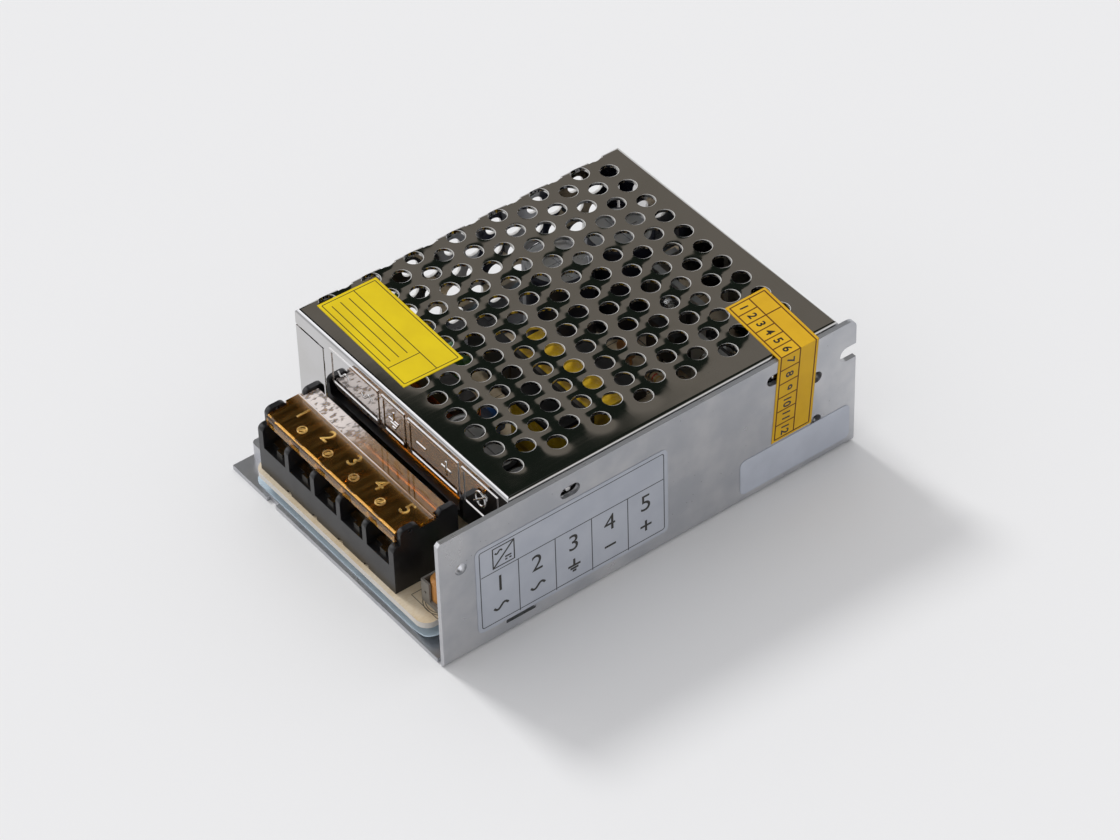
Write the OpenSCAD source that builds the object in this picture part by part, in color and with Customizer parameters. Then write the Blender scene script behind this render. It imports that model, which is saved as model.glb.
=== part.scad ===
// Mesh case switching power supply: folded base, perforated cover, terminal block and circuit board.
// The origin is the centre of the underside. X runs across the case, the tall side wall is at +X.
// Y runs along the case, the terminal end is at -Y. Z is up. All sizes are in millimetres.

/* [Case] */
// Overall length of the base, terminal end to rear end
case_l = 111; // [108:1:130]
// Overall width across the side walls
case_w = 78; // [78:1:92]
// Overall height to the top of the cover
case_h = 36; // [36:0.5:46]
// Sheet thickness of the base
base_t = 1.2; // [1:0.1:1.5]
// Outside radius of the bend between the floor and the side wall
base_bend_r = 1.6; // [1.6:0.1:2.4]
// Drop of the side wall's top edge below the top of the cover
wall_drop = 0.4; // [0.2:0.1:1]
// Radius of the side wall's rear corners
wall_corner_r = 2; // [1:0.5:4]
// Bevel on the side wall's front top corner
wall_front_bevel = 0.7; // [0.3:0.1:2]
// Width of the bend relief slits at the ends of the floor bend
relief_w = 1.2; // [0.8:0.1:2]
// Length of the bend relief slits
relief_l = 1.6; // [1:0.1:3]
// Distance of the small locating notch from the base's left edge
notch_x = 13; // [8:0.5:30]
// Width of the locating notch in the front edge
notch_w = 3.4; // [2:0.1:6]
// Depth of the locating notch
notch_d = 0.8; // [0.4:0.1:1.5]

/* [Left rail] */
// Height of the cover screws in the rail above the underside
cover_screw_z = 3.2; // [3.1:0.1:3.4]
// Width of the folded rail along the left edge
rail_w = 4.4; // [3.6:0.1:5]
// Height of the rail's top above the underside
rail_h = 5.3; // [4.8:0.1:6]
// Distance of the rail's front end from the front edge
rail_front = 5.1; // [3:0.1:12]
// Distance of the rail's rear end from the rear edge
rail_rear = 5.1; // [4.9:0.1:12]
// Plan radius of the rail's front corner
rail_corner_r = 1.2; // [0.6:0.1:2]

/* [Cover] */
// Sheet thickness of the cover
cover_t = 0.8; // [0.6:0.1:1]
// Outside bend radius of the cover
cover_bend_r = 1; // [1:0.1:1.6]
// Distance of the cover's front face from the front edge of the base
cover_front = 19.1; // [18.4:0.1:24]
// Distance of the cover's rear face from the rear edge of the base
cover_rear = 3.8; // [2:0.1:4.4]
// Height of the front strip above the corner tab
strip_h = 4; // [3:0.1:8]
// Width of the corner tab folded in from the left side
tab_w = 10; // [6:0.5:14]
// Width of the seams between the folded flanges
seam_w = 0.5; // [0.3:0.1:1]
// Height of the front flange's lower edge above the underside
flange_z = 18; // [15:0.5:22]
// Depth of the flange that tucks inside the side wall
tuck_h = 10; // [8:0.5:16]
// Distance of the tucked flange's ends from the cover's ends
tuck_end = 3.5; // [2:0.1:8]
// Height of the pressed frames over the terminals
mark_h = 9.75; // [6:0.25:12]
// Distance of the pressed frames from the top of the cover
mark_drop = 2.25; // [2:0.25:4]
// Width of a pressed ridge
mark_ridge = 0.7; // [0.5:0.1:1]
// Height of a pressed ridge above the sheet
mark_raise = 0.2; // [0.1:0.05:0.3]
// Offset of the frames to the right of the poles that they mark
mark_shift = 2.4; // [0:0.1:2.8]
// Gap between neighbouring frames
mark_gap = 1.2; // [0.8:0.1:2]
// Width of the last frame, over the output adjuster
mark_adjust_w = 12.5; // [8:0.5:13]

/* [Mesh] */
// Diameter of the vent holes
mesh_d = 4.3; // [3:0.1:4.8]
// Spacing of the holes along a row
mesh_pitch = 6.633; // [6:0.1:9]
// Spacing of the rows
mesh_row_pitch = 5.692; // [5:0.1:8]
// Least distance from the first and last row to the ends of the cover
mesh_end = 6.9; // [5:0.1:12]
// Distance from the first hole to the cover's right edge
mesh_edge = 7.6; // [5:0.1:12]
// Height below which the left side has no holes
mesh_low = 9; // [7:0.5:16]

/* [Side wall openings] */
// Diameter of the tapped mounting holes
mount_d = 3; // [2.5:0.1:4]
// Outer diameter of the collar drawn inwards round a mounting hole
collar_d = 4.6; // [4.2:0.1:6]
// Depth of the collar beyond the sheet
collar_h = 0.8; // [0.4:0.1:1]
// Distance of the front mounting hole from the front edge
mount_front = 5.5; // [4:0.1:12]
// Height of the front mounting hole
mount_front_z = 25.7; // [16:0.1:30]
// Distance of the rear mounting holes from the rear edge
mount_rear = 11; // [8:0.1:16]
// Height of the upper rear mounting hole
mount_rear_high = 25; // [20:0.1:27]
// Height of the lower rear mounting hole
mount_rear_low = 12.6; // [8:0.1:16]
// Length of the snap slots
snap_l = 5.1; // [4:0.1:7]
// Height of the snap slots
snap_h = 3; // [2.4:0.1:4]
// Height of the snap slots' centre line below the top of the cover
snap_drop = 5; // [4.6:0.1:7]
// Distance of the front snap from the front edge
snap_front = 33.8; // [30:0.1:45]
// Distance of the rear snap from the rear edge
snap_rear = 22.1; // [16:0.1:34]
// How far a snap dimple stands out of the cover
dimple_h = 0.9; // [0.6:0.1:1.3]
// Width of a snap dimple
dimple_d = 2.2; // [1.6:0.1:2.3]
// Width of the open slot in the rear edge
rear_slot_w = 3.8; // [3:0.1:5]
// Length of the open slot in the rear edge
rear_slot_l = 4.4; // [3:0.1:7]
// Height of the open slot's centre line
rear_slot_z = 26.9; // [20:0.1:30]
// Length of the thin slit near the floor
slit_l = 7.7; // [4:0.1:12]
// Height of the thin slit
slit_h = 1; // [0.8:0.1:1.6]
// Distance of the thin slit from the front edge
slit_front = 16.3; // [10:0.1:30]
// Height of the thin slit's lower edge
slit_z = 3.2; // [2.4:0.1:6]

/* [Floor mounting holes] */
// Spacing of the tapped holes in the floor, across the case
floor_span_x = 44; // [30:1:50]
// Spacing of the tapped holes in the floor, along the case
floor_span_y = 60; // [40:1:70]

/* [Circuit board] */
// Thickness of the circuit board
board_t = 1.6; // [1.2:0.1:2]
// Height of the standoffs between the floor and the board
standoff_h = 3.4; // [3:0.1:4.4]
// Gap from the board's side edges to the outside of the case
board_side = 7.5; // [6.8:0.1:8]
// Gap from the board's front edge to the front of the base
board_front = 0.5; // [0.3:0.1:1.5]
// Gap from the board's rear edge to the rear of the base
board_rear = 6; // [5.2:0.1:6.4]
// Plan radius of the board's corners
board_r = 3; // [1:0.5:4]
// Distance of the board screws from the board's side edges
fix_side = 3.3; // [3.3:0.1:4]
// Distance of the front board screws from the board's front edge
fix_front = 23; // [22.8:0.1:23.2]
// Distance of the rear board screws from the board's rear edge
fix_rear = 3.3; // [3.2:0.1:4]
// Outer diameter of a standoff
standoff_d = 5.5; // [5:0.1:6]
// Diameter of a standoff's spigot, pressed into the floor
spigot_d = 4; // [3.8:0.1:4.4]
// Length of a board screw below its head
fix_l = 5; // [4:0.1:6]

/* [Insulating film] */
// Thickness of the insulating film
film_t = 0.3; // [0.2:0.05:0.4]
// How far the film reaches past the board's sides
film_out = 1.5; // [0.5:0.1:1.8]
// Distance of the film's front edge from the front of the base
film_front = 1.1; // [0.6:0.1:4]
// How far the film's right edge curls up
film_lift = 2.2; // [0.5:0.1:2.6]
// Width of the curled strip
film_curl_w = 8; // [6:0.5:12]

/* [Terminal block] */
// Spacing of the terminals
pole_pitch = 9.5; // [9:0.1:9.6]
// Number of terminals
poles = 5; // [5:1:5]
// Thickness of the ribs between terminals
rib_t = 1.5; // [1.2:0.1:1.8]
// Extra length of the housing past the last terminal's half pitch
block_end = 1.1; // [0.8:0.1:1.5]
// Distance of the housing's left end from the board's left edge
block_side = 1.8; // [1:0.1:2.6]
// Distance of the housing's front from the board's front edge
block_front = 1.1; // [0.8:0.1:1.3]
// Depth of the housing, front to back
block_d = 16.8; // [16.6:0.1:16.8]
// Height of the contact seat above the board
seat_h = 7.2; // [6.8:0.1:7.6]
// Height of the rear wall above the board
back_h = 12.4; // [11.8:0.1:12.6]
// Thickness of the rear wall
back_t = 4.2; // [4.2:0.1:4.4]
// Height of the ribs' tops above the board
rib_h = 14.8; // [14.8:0.1:15.4]
// Height of the ears above the ribs
ear_h = 1.8; // [1.4:0.1:2.2]
// Length of an ear at its foot
ear_l = 5; // [4.4:0.1:5.2]
// Thickness of an ear
ear_t = 1.4; // [1.2:0.1:1.5]
// Front step of the ribs, under the lid's lip
rib_step = 2.6; // [2.4:0.1:2.8]
// Depth below the rib tops of the step under the lip
step_drop = 1.9; // [1.8:0.1:2.2]

/* [Terminal lid] */
// Thickness of the lid
lid_t = 0.9; // [0.8:0.1:1.1]
// Depth of the lid's front lip below its top
lip_h = 2.75; // [2.4:0.05:2.8]
// Thickness of the lip
lip_t = 1; // [0.8:0.1:1.1]
// Distance of the lid's front face from the housing's front face
lid_front = 1.5; // [1.4:0.1:1.6]
// Radius of the lid's front top edge
lid_edge_r = 0.8; // [0.5:0.1:0.8]
// Depth of the rear wall below the lid's top
lid_back_h = 2.9; // [2.4:0.1:3]
// Distance of the hinge line in front of the housing's rear face
hinge_back = 2.4; // [2.3:0.1:2.6]
// Distance of the hinge line below the ribs' tops
hinge_drop = 0.4; // [0.3:0.05:0.5]
// Radius of the hinge pins
hinge_r = 0.7; // [0.6:0.05:0.7]
// Length of the hinge pins
hinge_l = 1; // [0.8:0.1:1]
// Reach of the lid's end tabs over the end walls
lid_tab = 1.2; // [0.8:0.1:1.3]
// Width of the lid's end tabs
lid_tab_w = 4; // [3:0.1:4.2]

/* [Terminal contacts] */
// Thickness of the contact plates and the clamp washers
contact_t = 0.8; // [0.7:0.1:0.9]
// Width of a contact plate
contact_w = 7.2; // [6.4:0.1:7.4]
// Radius of the terminal screws' heads
head_r = 2.9; // [2.7:0.1:3.1]
// Height of the terminal screws' heads
head_h = 1.9; // [1.7:0.1:2]
// Radius of the terminal screws' shanks
shank_r = 1.45; // [1.35:0.05:1.5]
// Length of the terminal screws' shanks
shank_l = 5.6; // [5.2:0.1:6]
// Side of the square clamp washers
washer_w = 6.8; // [6.4:0.1:7]

/* [Fits] */
// Radial clearance of shafts and screws in their holes
fit_r = 0.05; // [0.03:0.01:0.08]
// Gap between neighbouring sheet or moulded pieces
fit_gap = 0.1; // [0.05:0.05:0.2]
// Gap between the cover and the side wall
wall_gap = 0.4; // [0.3:0.1:0.5]

/* [Output adjuster] */
// Side of the adjuster's base
trim_w = 6.6; // [6:0.1:7]
// Distance of the adjuster's base from the board's right edge
trim_side = 0.4; // [0.2:0.1:1.5]
// Distance of the adjuster's base from the board's front edge
trim_front = 4.6; // [4:0.1:7]
// Height of the adjuster's base plate
trim_base_h = 1.2; // [1:0.1:1.6]
// Radius of the adjuster's rotor
rotor_r = 2.6; // [2.4:0.1:2.7]
// Height of the adjuster's rotor
rotor_h = 5.8; // [5:0.1:7]
// Radius of the lamp beside the adjuster
lamp_r = 1.5; // [1.5:0.1:2]

/* [Transformer] */
// Width of the transformer's core across the case
core_w = 28; // [26:0.5:29]
// Height of the core
core_h = 25; // [22:0.5:25]
// Depth of the core along the case
core_d = 11; // [9:0.5:12]
// Thickness of the core's outer legs and yokes
core_leg = 4.5; // [4:0.1:5]
// Width of the core's centre leg
core_mid = 9; // [8:0.1:9.5]
// Depth of the winding along the case
winding_d = 23; // [20:0.5:24]
// Distance of the transformer's centre from the board's right edge
core_x = 20; // [19:0.5:20.5]
// Distance of the transformer's centre from the board's front edge
core_y = 54.5; // [54:0.5:55]
// Height of the core's underside above the board
core_lift = 2; // [1.6:0.1:2.4]

/* [Capacitors] */
// Diameter of the input capacitors
input_cap_d = 16; // [14:0.5:16]
// Height of the input capacitors
input_cap_h = 25; // [20:0.5:27]
// Distance of the first input capacitor from the board's front edge
input_cap_y = 75.5; // [75:0.5:76]
// Spacing of the input capacitors
input_cap_step = 17; // [16.5:0.1:17.4]
// Distance of the input capacitors' centres from the board's left edge
input_cap_x = 11; // [10:0.5:11.5]
// Diameter of the output capacitors
output_cap_d = 10; // [8:0.5:10]
// Height of the output capacitors
output_cap_h = 20; // [16:0.5:25]
// Spacing of the output capacitors
output_cap_step = 10.5; // [10.2:0.1:10.8]
// Distance of the output capacitors' centres from the board's front edge
output_cap_y = 31; // [31:0.1:31.3]

/* [Heatsinks] */
// Thickness of the heatsink plates
sink_t = 1.5; // [1.2:0.1:2]
// Height of the primary heatsink
sink_h = 24; // [22:0.5:26]
// Length of the primary heatsink
sink_l = 19; // [17:0.5:20]
// Height of the secondary heatsink
sink2_h = 22; // [20:0.5:26]
// Length of the secondary heatsink
sink2_l = 16; // [14:0.5:16.5]

/* [Labels] */
// Thickness of the labels
label_t = 0.12; // [0.1:0.02:0.2]
// Corner radius of the side labels
label_r = 1.5; // [0.5:0.1:3]
// Length of the notice label on top
notice_l = 33; // [20:0.5:34]
// Width of the notice label
notice_w = 15.3; // [10:0.1:18]
// Turn of the notice label in degrees
notice_turn = 1.5; // [0:0.5:3]
// Length of the rating label on the side wall
rating_l = 50.3; // [30:0.1:56]
// Height of the rating label
rating_h = 23.9; // [14:0.1:25]
// Distance of the rating label from the front edge
rating_front = 9; // [8:0.5:12]
// Height of the rating label's lower edge
rating_z = 4.4; // [4.2:0.1:5]
// Length of the small type label
type_l = 30.5; // [20:0.1:31]
// Height of the small type label
type_h = 9.7; // [6:0.1:10]
// Distance of the type label from the rear edge
type_rear = 1.5; // [1:0.1:4]
// Height of the type label's lower edge
type_z = 2.5; // [2:0.1:3]
// Distance of the notice label from the left side
notice_side = 2.3; // [1:0.1:4]
// Distance of the notice label from the cover's front
notice_front = 4.3; // [3:0.1:6]
// Width of the seal label
seal_w = 11; // [8:0.1:12]
// Distance of the seal label's front edge from the rear edge of the base
seal_rear = 21.6; // [16:0.1:24]
// Reach of the seal label over the top
seal_top = 20; // [8:0.5:24]
// Gap between the seal label's lower end and the type label
seal_gap = 0.62; // [0.3:0.02:8]
// Slant of the seal label in degrees
seal_turn = 4.4; // [0:0.2:5]

/* [Hidden] */

// Sides of a round wall, a hole in the mesh and a small wire
round_fn = 48;
mesh_fn = 16;
wire_fn = 16;
// Overshoot of a cut past the face that it opens
cut = 1;
// Least radius kept inside a bend
least_r = 0.1;
// Colour names of the finishes
steel = "silver";
bright = "gainsboro";
black = "dimgray";

// Case faces
x_left = -case_w / 2;
x_right = case_w / 2;
y_front = -case_l / 2;
y_rear = case_l / 2;
wall_in = x_right - base_t;
wall_top = case_h - wall_drop;

// Cover faces; the floor behind the cover's front is set in so that the cover's side lies flush
cover_y0 = y_front + cover_front;
cover_y1 = y_rear - cover_rear;
cover_x1 = wall_in - wall_gap;
inset = cover_t + fit_gap;
floor_left = x_left + inset;

// Board faces
board_x0 = x_left + board_side;
board_x1 = x_right - board_side;
board_y0 = y_front + board_front;
board_y1 = y_rear - board_rear;
board_z0 = base_t + standoff_h;
board_z = board_z0 + board_t;
board_w = board_x1 - board_x0;
fix_xs = [board_x0 + fix_side, board_x1 - fix_side];
fix_ys = [board_y0 + fix_front, board_y1 - fix_rear];
m3_r = 1.45;
m3_hole_r = m3_r + fit_r;
m3_head_r = 2.75;
m3_head_h = 1.9;

// The parts suit the board: a size or place named here or above is the one on a board of standard width,
// length and headroom, and it follows the board that there is by these ratios
board_std_w = 63;
zone_std_y = 27;
zone_std_l = 77.5;
room_std_h = 29;
case_std_h = 36;
zone_front = 4;
zone_y0 = fix_ys[0] + zone_front;
wide = board_w / board_std_w;
long = (board_y1 - zone_y0) / zone_std_l;
plan = min(wide, long);
tall = (case_h - cover_t - board_z) / room_std_h;
rise = case_h / case_std_h;
function at_x(d) = board_x0 + d * wide;
function at_y(d) = zone_y0 + (d - zone_std_y) * long;

// Terminal block faces
block_x0 = board_x0 + block_side;
fit_pole_pitch = wide * pole_pitch;
block_l = poles * fit_pole_pitch + 2 * block_end;
block_x1 = block_x0 + block_l;
block_y0 = board_y0 + block_front;
block_y1 = block_y0 + block_d;
seat_z = board_z + seat_h;
back_z = board_z + back_h;
rib_z = board_z + rib_h;
end_t = block_end + rib_t / 2;
function pole_x(i) = block_x0 + block_end + fit_pole_pitch * (i + 0.5);
ear_ys = [block_y0 + 2, block_y1 - ear_l];
ear_hole_r = 0.45;

// Lid faces and hinge line
lid_z0 = rib_z + fit_r;
lid_z1 = lid_z0 + lid_t;
lid_y0 = block_y0 + lid_front;
hinge_y = block_y1 - hinge_back;
hinge_z = rib_z - hinge_drop;
lid_y1 = hinge_y + hinge_r;
lid_x0 = block_x0 + ear_t + fit_gap;
lid_x1 = block_x1 - ear_t - fit_gap;

// Terminal screws stand in the middle of the open cells
screw_in = 7.5;
contact_in = 2.1;
contact_out = 0.5;
screw_y = block_y0 + screw_in;
contact_y0 = block_y0 + contact_in;
contact_y1 = block_y1 - back_t - contact_out;
fit_contact_w = wide * contact_w;
fit_washer_w = wide * washer_w;
fit_head_r = wide * head_r;
contact_z = seat_z + contact_t;
washer_z = contact_z + contact_t;
nose_w = 2;
nose_l = 0.8;
leg_w = 1.2;
leg_out = 1.2;
boss_r = 2.3;
boss_h = 2;
recess_r = 0.35;

// Adjuster
trim_x0 = board_x1 - trim_side - trim_w;
trim_y0 = board_y0 + trim_front;
trim_cx = trim_x0 + trim_w / 2;
trim_cy = trim_y0 + trim_w / 2;
rotor_z = board_z + trim_base_h;
trim_plate = 0.5;
trim_pin_r = 0.9;
trim_pin_h = 2;

// Transformer
fit_core_w = plan * core_w;
fit_core_h = tall * core_h;
fit_core_d = plan * core_d;
fit_core_leg = plan * core_leg;
fit_core_mid = plan * core_mid;
fit_winding_d = plan * winding_d;
core_cx = board_x1 - wide * core_x;
core_cy = at_y(core_y);
core_z = board_z + core_lift;
window_z0 = core_z + fit_core_leg;
window_z1 = core_z + fit_core_h - fit_core_leg;
bobbin_wall = 1;
bobbin_rail = 3;
rail_out = 2.5;

// Heatsinks stand across the case near the rear
sink_x0_std = 22.5;
sink_x0 = at_x(sink_x0_std);
sink_y_std = 91;
sink_y = at_y(sink_y_std);
sink2_x1_std = 61;
sink2_x1 = at_x(sink2_x1_std);
sink2_y_std = 85.5;
sink2_y = at_y(sink2_y_std);
fit_sink_l = wide * sink_l;
fit_sink2_l = wide * sink2_l;
fit_sink_h = tall * sink_h;
fit_sink2_h = tall * sink2_h;
sink_fold_std = 8;
sink_fold = plan * sink_fold_std;
sink_lift = 0.6;
foot_in = 3;
foot_w = 1.6;
tab_hole_z_std = 18.5;
tab_hole_z = board_z + tall * tab_hole_z_std;
case_x_std = 10.2;
case_x = plan * case_x_std;
case_y_std = 4.5;
case_y = plan * case_y_std;
case_body_h_std = 9;
case_body_h = tall * case_body_h_std;
case_tab_h_std = 15.6;
case_tab_h = tall * case_tab_h_std;
case_hole_drop_std = 2.8;
case_hole_drop = tall * case_hole_drop_std;
case_tab_t = 1.3;
case_leg_w = 0.8;
case_leg_t = 0.5;
case_leg_y = 2.4;
nut_h = 2.2;
nut_r = 3.1;

// Plain block between two corners
module block(x0, x1, y0, y1, z0, z1) {
    translate([x0, y0, z0]) cube([x1 - x0, y1 - y0, z1 - z0]);
}

// Rectangle with four round corners, its lower left corner at the origin
module round_rect(w, h, r) {
    translate([r, 0]) square([w - 2 * r, h]);
    translate([0, r]) square([w, h - 2 * r]);
    for (x = [r, w - r], y = [r, h - r]) translate([x, y]) circle(r, $fn = round_fn);
}

// Slab with round plan corners
module slab(x0, x1, y0, y1, z0, z1, r) {
    translate([x0, y0, z0]) linear_extrude(z1 - z0) round_rect(x1 - x0, y1 - y0, r);
}

// Turns a flat outline into a slab across the case, its thickness running from x0 to x1
module across(x0, x1) {
    translate([x0, 0, 0]) rotate([90, 0, 90]) linear_extrude(x1 - x0) children();
}

// Turns a flat outline into a slab along the case, from y0 to y1
module along(y0, y1) {
    translate([0, y1, 0]) rotate([90, 0, 0]) linear_extrude(y1 - y0) children();
}

// Upright cylinder from z0 to z1
module post(x, y, r, z0, z1, fn = round_fn) {
    translate([x, y, z0]) cylinder(h = z1 - z0, r = r, $fn = fn);
}

// Cylinder along X from x0 to x1
module rod_x(x0, x1, y, z, r, fn = round_fn) {
    translate([x0, y, z]) rotate([0, 90, 0]) cylinder(h = x1 - x0, r = r, $fn = fn);
}

// Cylinder along Y from y0 to y1
module rod_y(x, y0, y1, z, r, fn = round_fn) {
    translate([x, y1, z]) rotate([90, 0, 0]) cylinder(h = y1 - y0, r = r, $fn = fn);
}

// Outline with two round upper corners, as a sheet has at its bends
module folded_outline(a0, a1, b0, b1, r) {
    translate([a0, b0]) square([a1 - a0, b1 - r - b0]);
    translate([a0 + r, b0]) square([a1 - a0 - 2 * r, b1 - b0]);
    for (a = [a0 + r, a1 - r]) translate([a, b1 - r]) circle(r, $fn = round_fn);
}

// Long hole with round ends, centred on (a, b)
module long_hole(a, b, l, h) {
    translate([a - l / 2 + h / 2, b - h / 2]) square([l - h, h]);
    for (s = [-1, 1]) translate([a + s * (l - h) / 2, b]) circle(h / 2, $fn = round_fn);
}

// Places of the mounting holes in the side wall, as [y, z]
mount_places = [[y_front + mount_front, mount_front_z], [y_rear - mount_rear, mount_rear_high],
    [y_rear - mount_rear, mount_rear_low]];
snap_ys = [y_front + snap_front, y_rear - snap_rear];
snap_z = case_h - snap_drop;
cover_screw_in = 14;
cover_screw_ys = [cover_y0 + cover_screw_in, cover_y1 - cover_screw_in];

// Side wall seen from the side, with its bevel and its round rear corner
module wall_outline() {
    difference() {
        translate([y_front, 0]) square([case_l, wall_top]);
        translate([y_front, wall_top]) rotate(45) square(wall_front_bevel * sqrt(2), center = true);
        translate([y_rear - wall_corner_r, wall_top - wall_corner_r]) difference() {
            square(wall_corner_r + cut);
            circle(wall_corner_r, $fn = round_fn);
        }
        for (y = snap_ys) long_hole(y, snap_z, snap_l, snap_h);
        long_hole(y_rear, rear_slot_z, 2 * rear_slot_l, rear_slot_w);
        translate([y_front + slit_front, slit_z]) square([slit_l, slit_h]);
        for (p = mount_places) translate(p) circle(mount_d / 2, $fn = round_fn);
    }
}

// Floor seen from above, with the locating notch and the bend reliefs
module floor_outline() {
    difference() {
        union() {
            translate([x_left, y_front]) square([case_w - base_t, cover_front - fit_gap]);
            translate([floor_left, y_front]) square([wall_in - floor_left, case_l]);
        }
        translate([x_left + notch_x, y_front - cut]) square([notch_w, notch_d + cut]);
        for (y = [y_front - cut, y_rear - relief_l])
            translate([wall_in - relief_w, y]) square([relief_w + cut, relief_l + cut]);
        for (x = fix_xs, y = fix_ys) translate([x, y]) circle(spigot_d / 2, $fn = round_fn);
        for (x = [-1, 1], y = [-1, 1])
            translate([x * floor_span_x / 2, y * floor_span_y / 2]) circle(mount_d / 2, $fn = round_fn);
    }
}

// Rail folded up and in along the left edge, closed at its front end
module rail(x0, y0, y1, closed) {
    difference() {
        block(x0, x0 + rail_w, y0, y1, base_t, rail_h);
        block(x0 + base_t, x0 + rail_w + cut, closed ? y0 + base_t : y0 - cut, y1 + cut,
            base_t - cut, rail_h - base_t);
        if (closed) translate([x0, y0, 0]) difference() {
            block(-cut, rail_corner_r, -cut, rail_corner_r, -cut, rail_h + cut);
            post(rail_corner_r, rail_corner_r, rail_corner_r, -2 * cut, rail_h + 2 * cut);
        }
    }
}

module base_chassis() {
    color(steel) difference() {
        union() {
            linear_extrude(base_t) floor_outline();
            across(wall_in, x_right) wall_outline();
            rail(x_left, y_front + rail_front, cover_y0 - fit_gap, true);
            rail(floor_left, cover_y0 - fit_gap - base_t, y_rear - rail_rear, false);
            for (p = mount_places) difference() {
                rod_x(wall_in - collar_h, wall_in, p[0], p[1], collar_d / 2);
                rod_x(wall_in - collar_h - cut, wall_in + cut, p[0], p[1], mount_d / 2);
            }
        }
        // The outside of the bend is round
        translate([x_right - base_bend_r, y_front - cut, 0]) difference() {
            translate([0, 0, -cut]) cube([base_bend_r + cut, case_l + 2 * cut, base_bend_r + cut]);
            translate([0, 0, base_bend_r]) rotate([-90, 0, 0])
                cylinder(h = case_l + 2 * cut, r = base_bend_r, $fn = round_fn);
        }
        for (y = cover_screw_ys) rod_x(x_left, x_left + rail_w, y, cover_screw_z, m3_hole_r);
    }
}

// Solid envelope of the cover, its folded sides moved in by the given amount
module cover_envelope(in) {
    r = max(cover_bend_r - in, least_r);
    intersection() {
        along(cover_y0, cover_y1)
            folded_outline(x_left + in, cover_x1 - in, 0, case_h - in, r);
        across(x_left, cover_x1)
            folded_outline(cover_y0 + in, cover_y1 - in, 0, case_h - in, r);
    }
}

// Rows and holes of the mesh; the pattern runs over the left bend and down the left side
mesh_slack = 0.01;
mesh_rows = floor((cover_y1 - cover_y0 - 2 * mesh_end) / mesh_row_pitch + mesh_slack) + 1;
mesh_top_w = cover_x1 - x_left;
mesh_reach = mesh_top_w + case_h - mesh_low;
function row_y(i) = (cover_y0 + cover_y1) / 2 + ((mesh_rows - 1) / 2 - i) * mesh_row_pitch;
function row_start(i) = mesh_edge + (i % 2 == 0 ? mesh_pitch / 2 : 0);
function row_holes(i) = [for (u = [row_start(i) : mesh_pitch : mesh_reach]) u];

module mesh_holes() {
    for (i = [0 : mesh_rows - 1], u = row_holes(i)) {
        if (u < mesh_top_w + mesh_d / 2)
            post(cover_x1 - u, row_y(i), mesh_d / 2, case_h - cover_bend_r - fit_gap, case_h + cut, mesh_fn);
        if (u > mesh_top_w - mesh_d / 2)
            rod_x(x_left - cut, x_left + cover_bend_r + fit_gap, row_y(i), case_h + mesh_top_w - u,
                mesh_d / 2, mesh_fn);
    }
}

// Start and width of each pressed frame, over the poles that it marks
mark_x0 = pole_x(0) - fit_pole_pitch / 2 + mark_shift;
mark_frames = [[mark_x0, 2 * fit_pole_pitch - mark_gap],
    [mark_x0 + 2 * fit_pole_pitch, fit_pole_pitch - mark_gap],
    [mark_x0 + 3 * fit_pole_pitch, 2 * fit_pole_pitch - mark_gap],
    [mark_x0 + 5 * fit_pole_pitch, mark_adjust_w]];

module pressed_frame(x0, w) {
    z1 = case_h - mark_drop;
    difference() {
        block(x0, x0 + w, cover_y0 - mark_raise, cover_y0, z1 - mark_h, z1);
        block(x0 + mark_ridge, x0 + w - mark_ridge, cover_y0 - mark_raise - cut, cover_y0 + cut,
            z1 - mark_h + mark_ridge, z1 - mark_ridge);
    }
}

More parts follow.
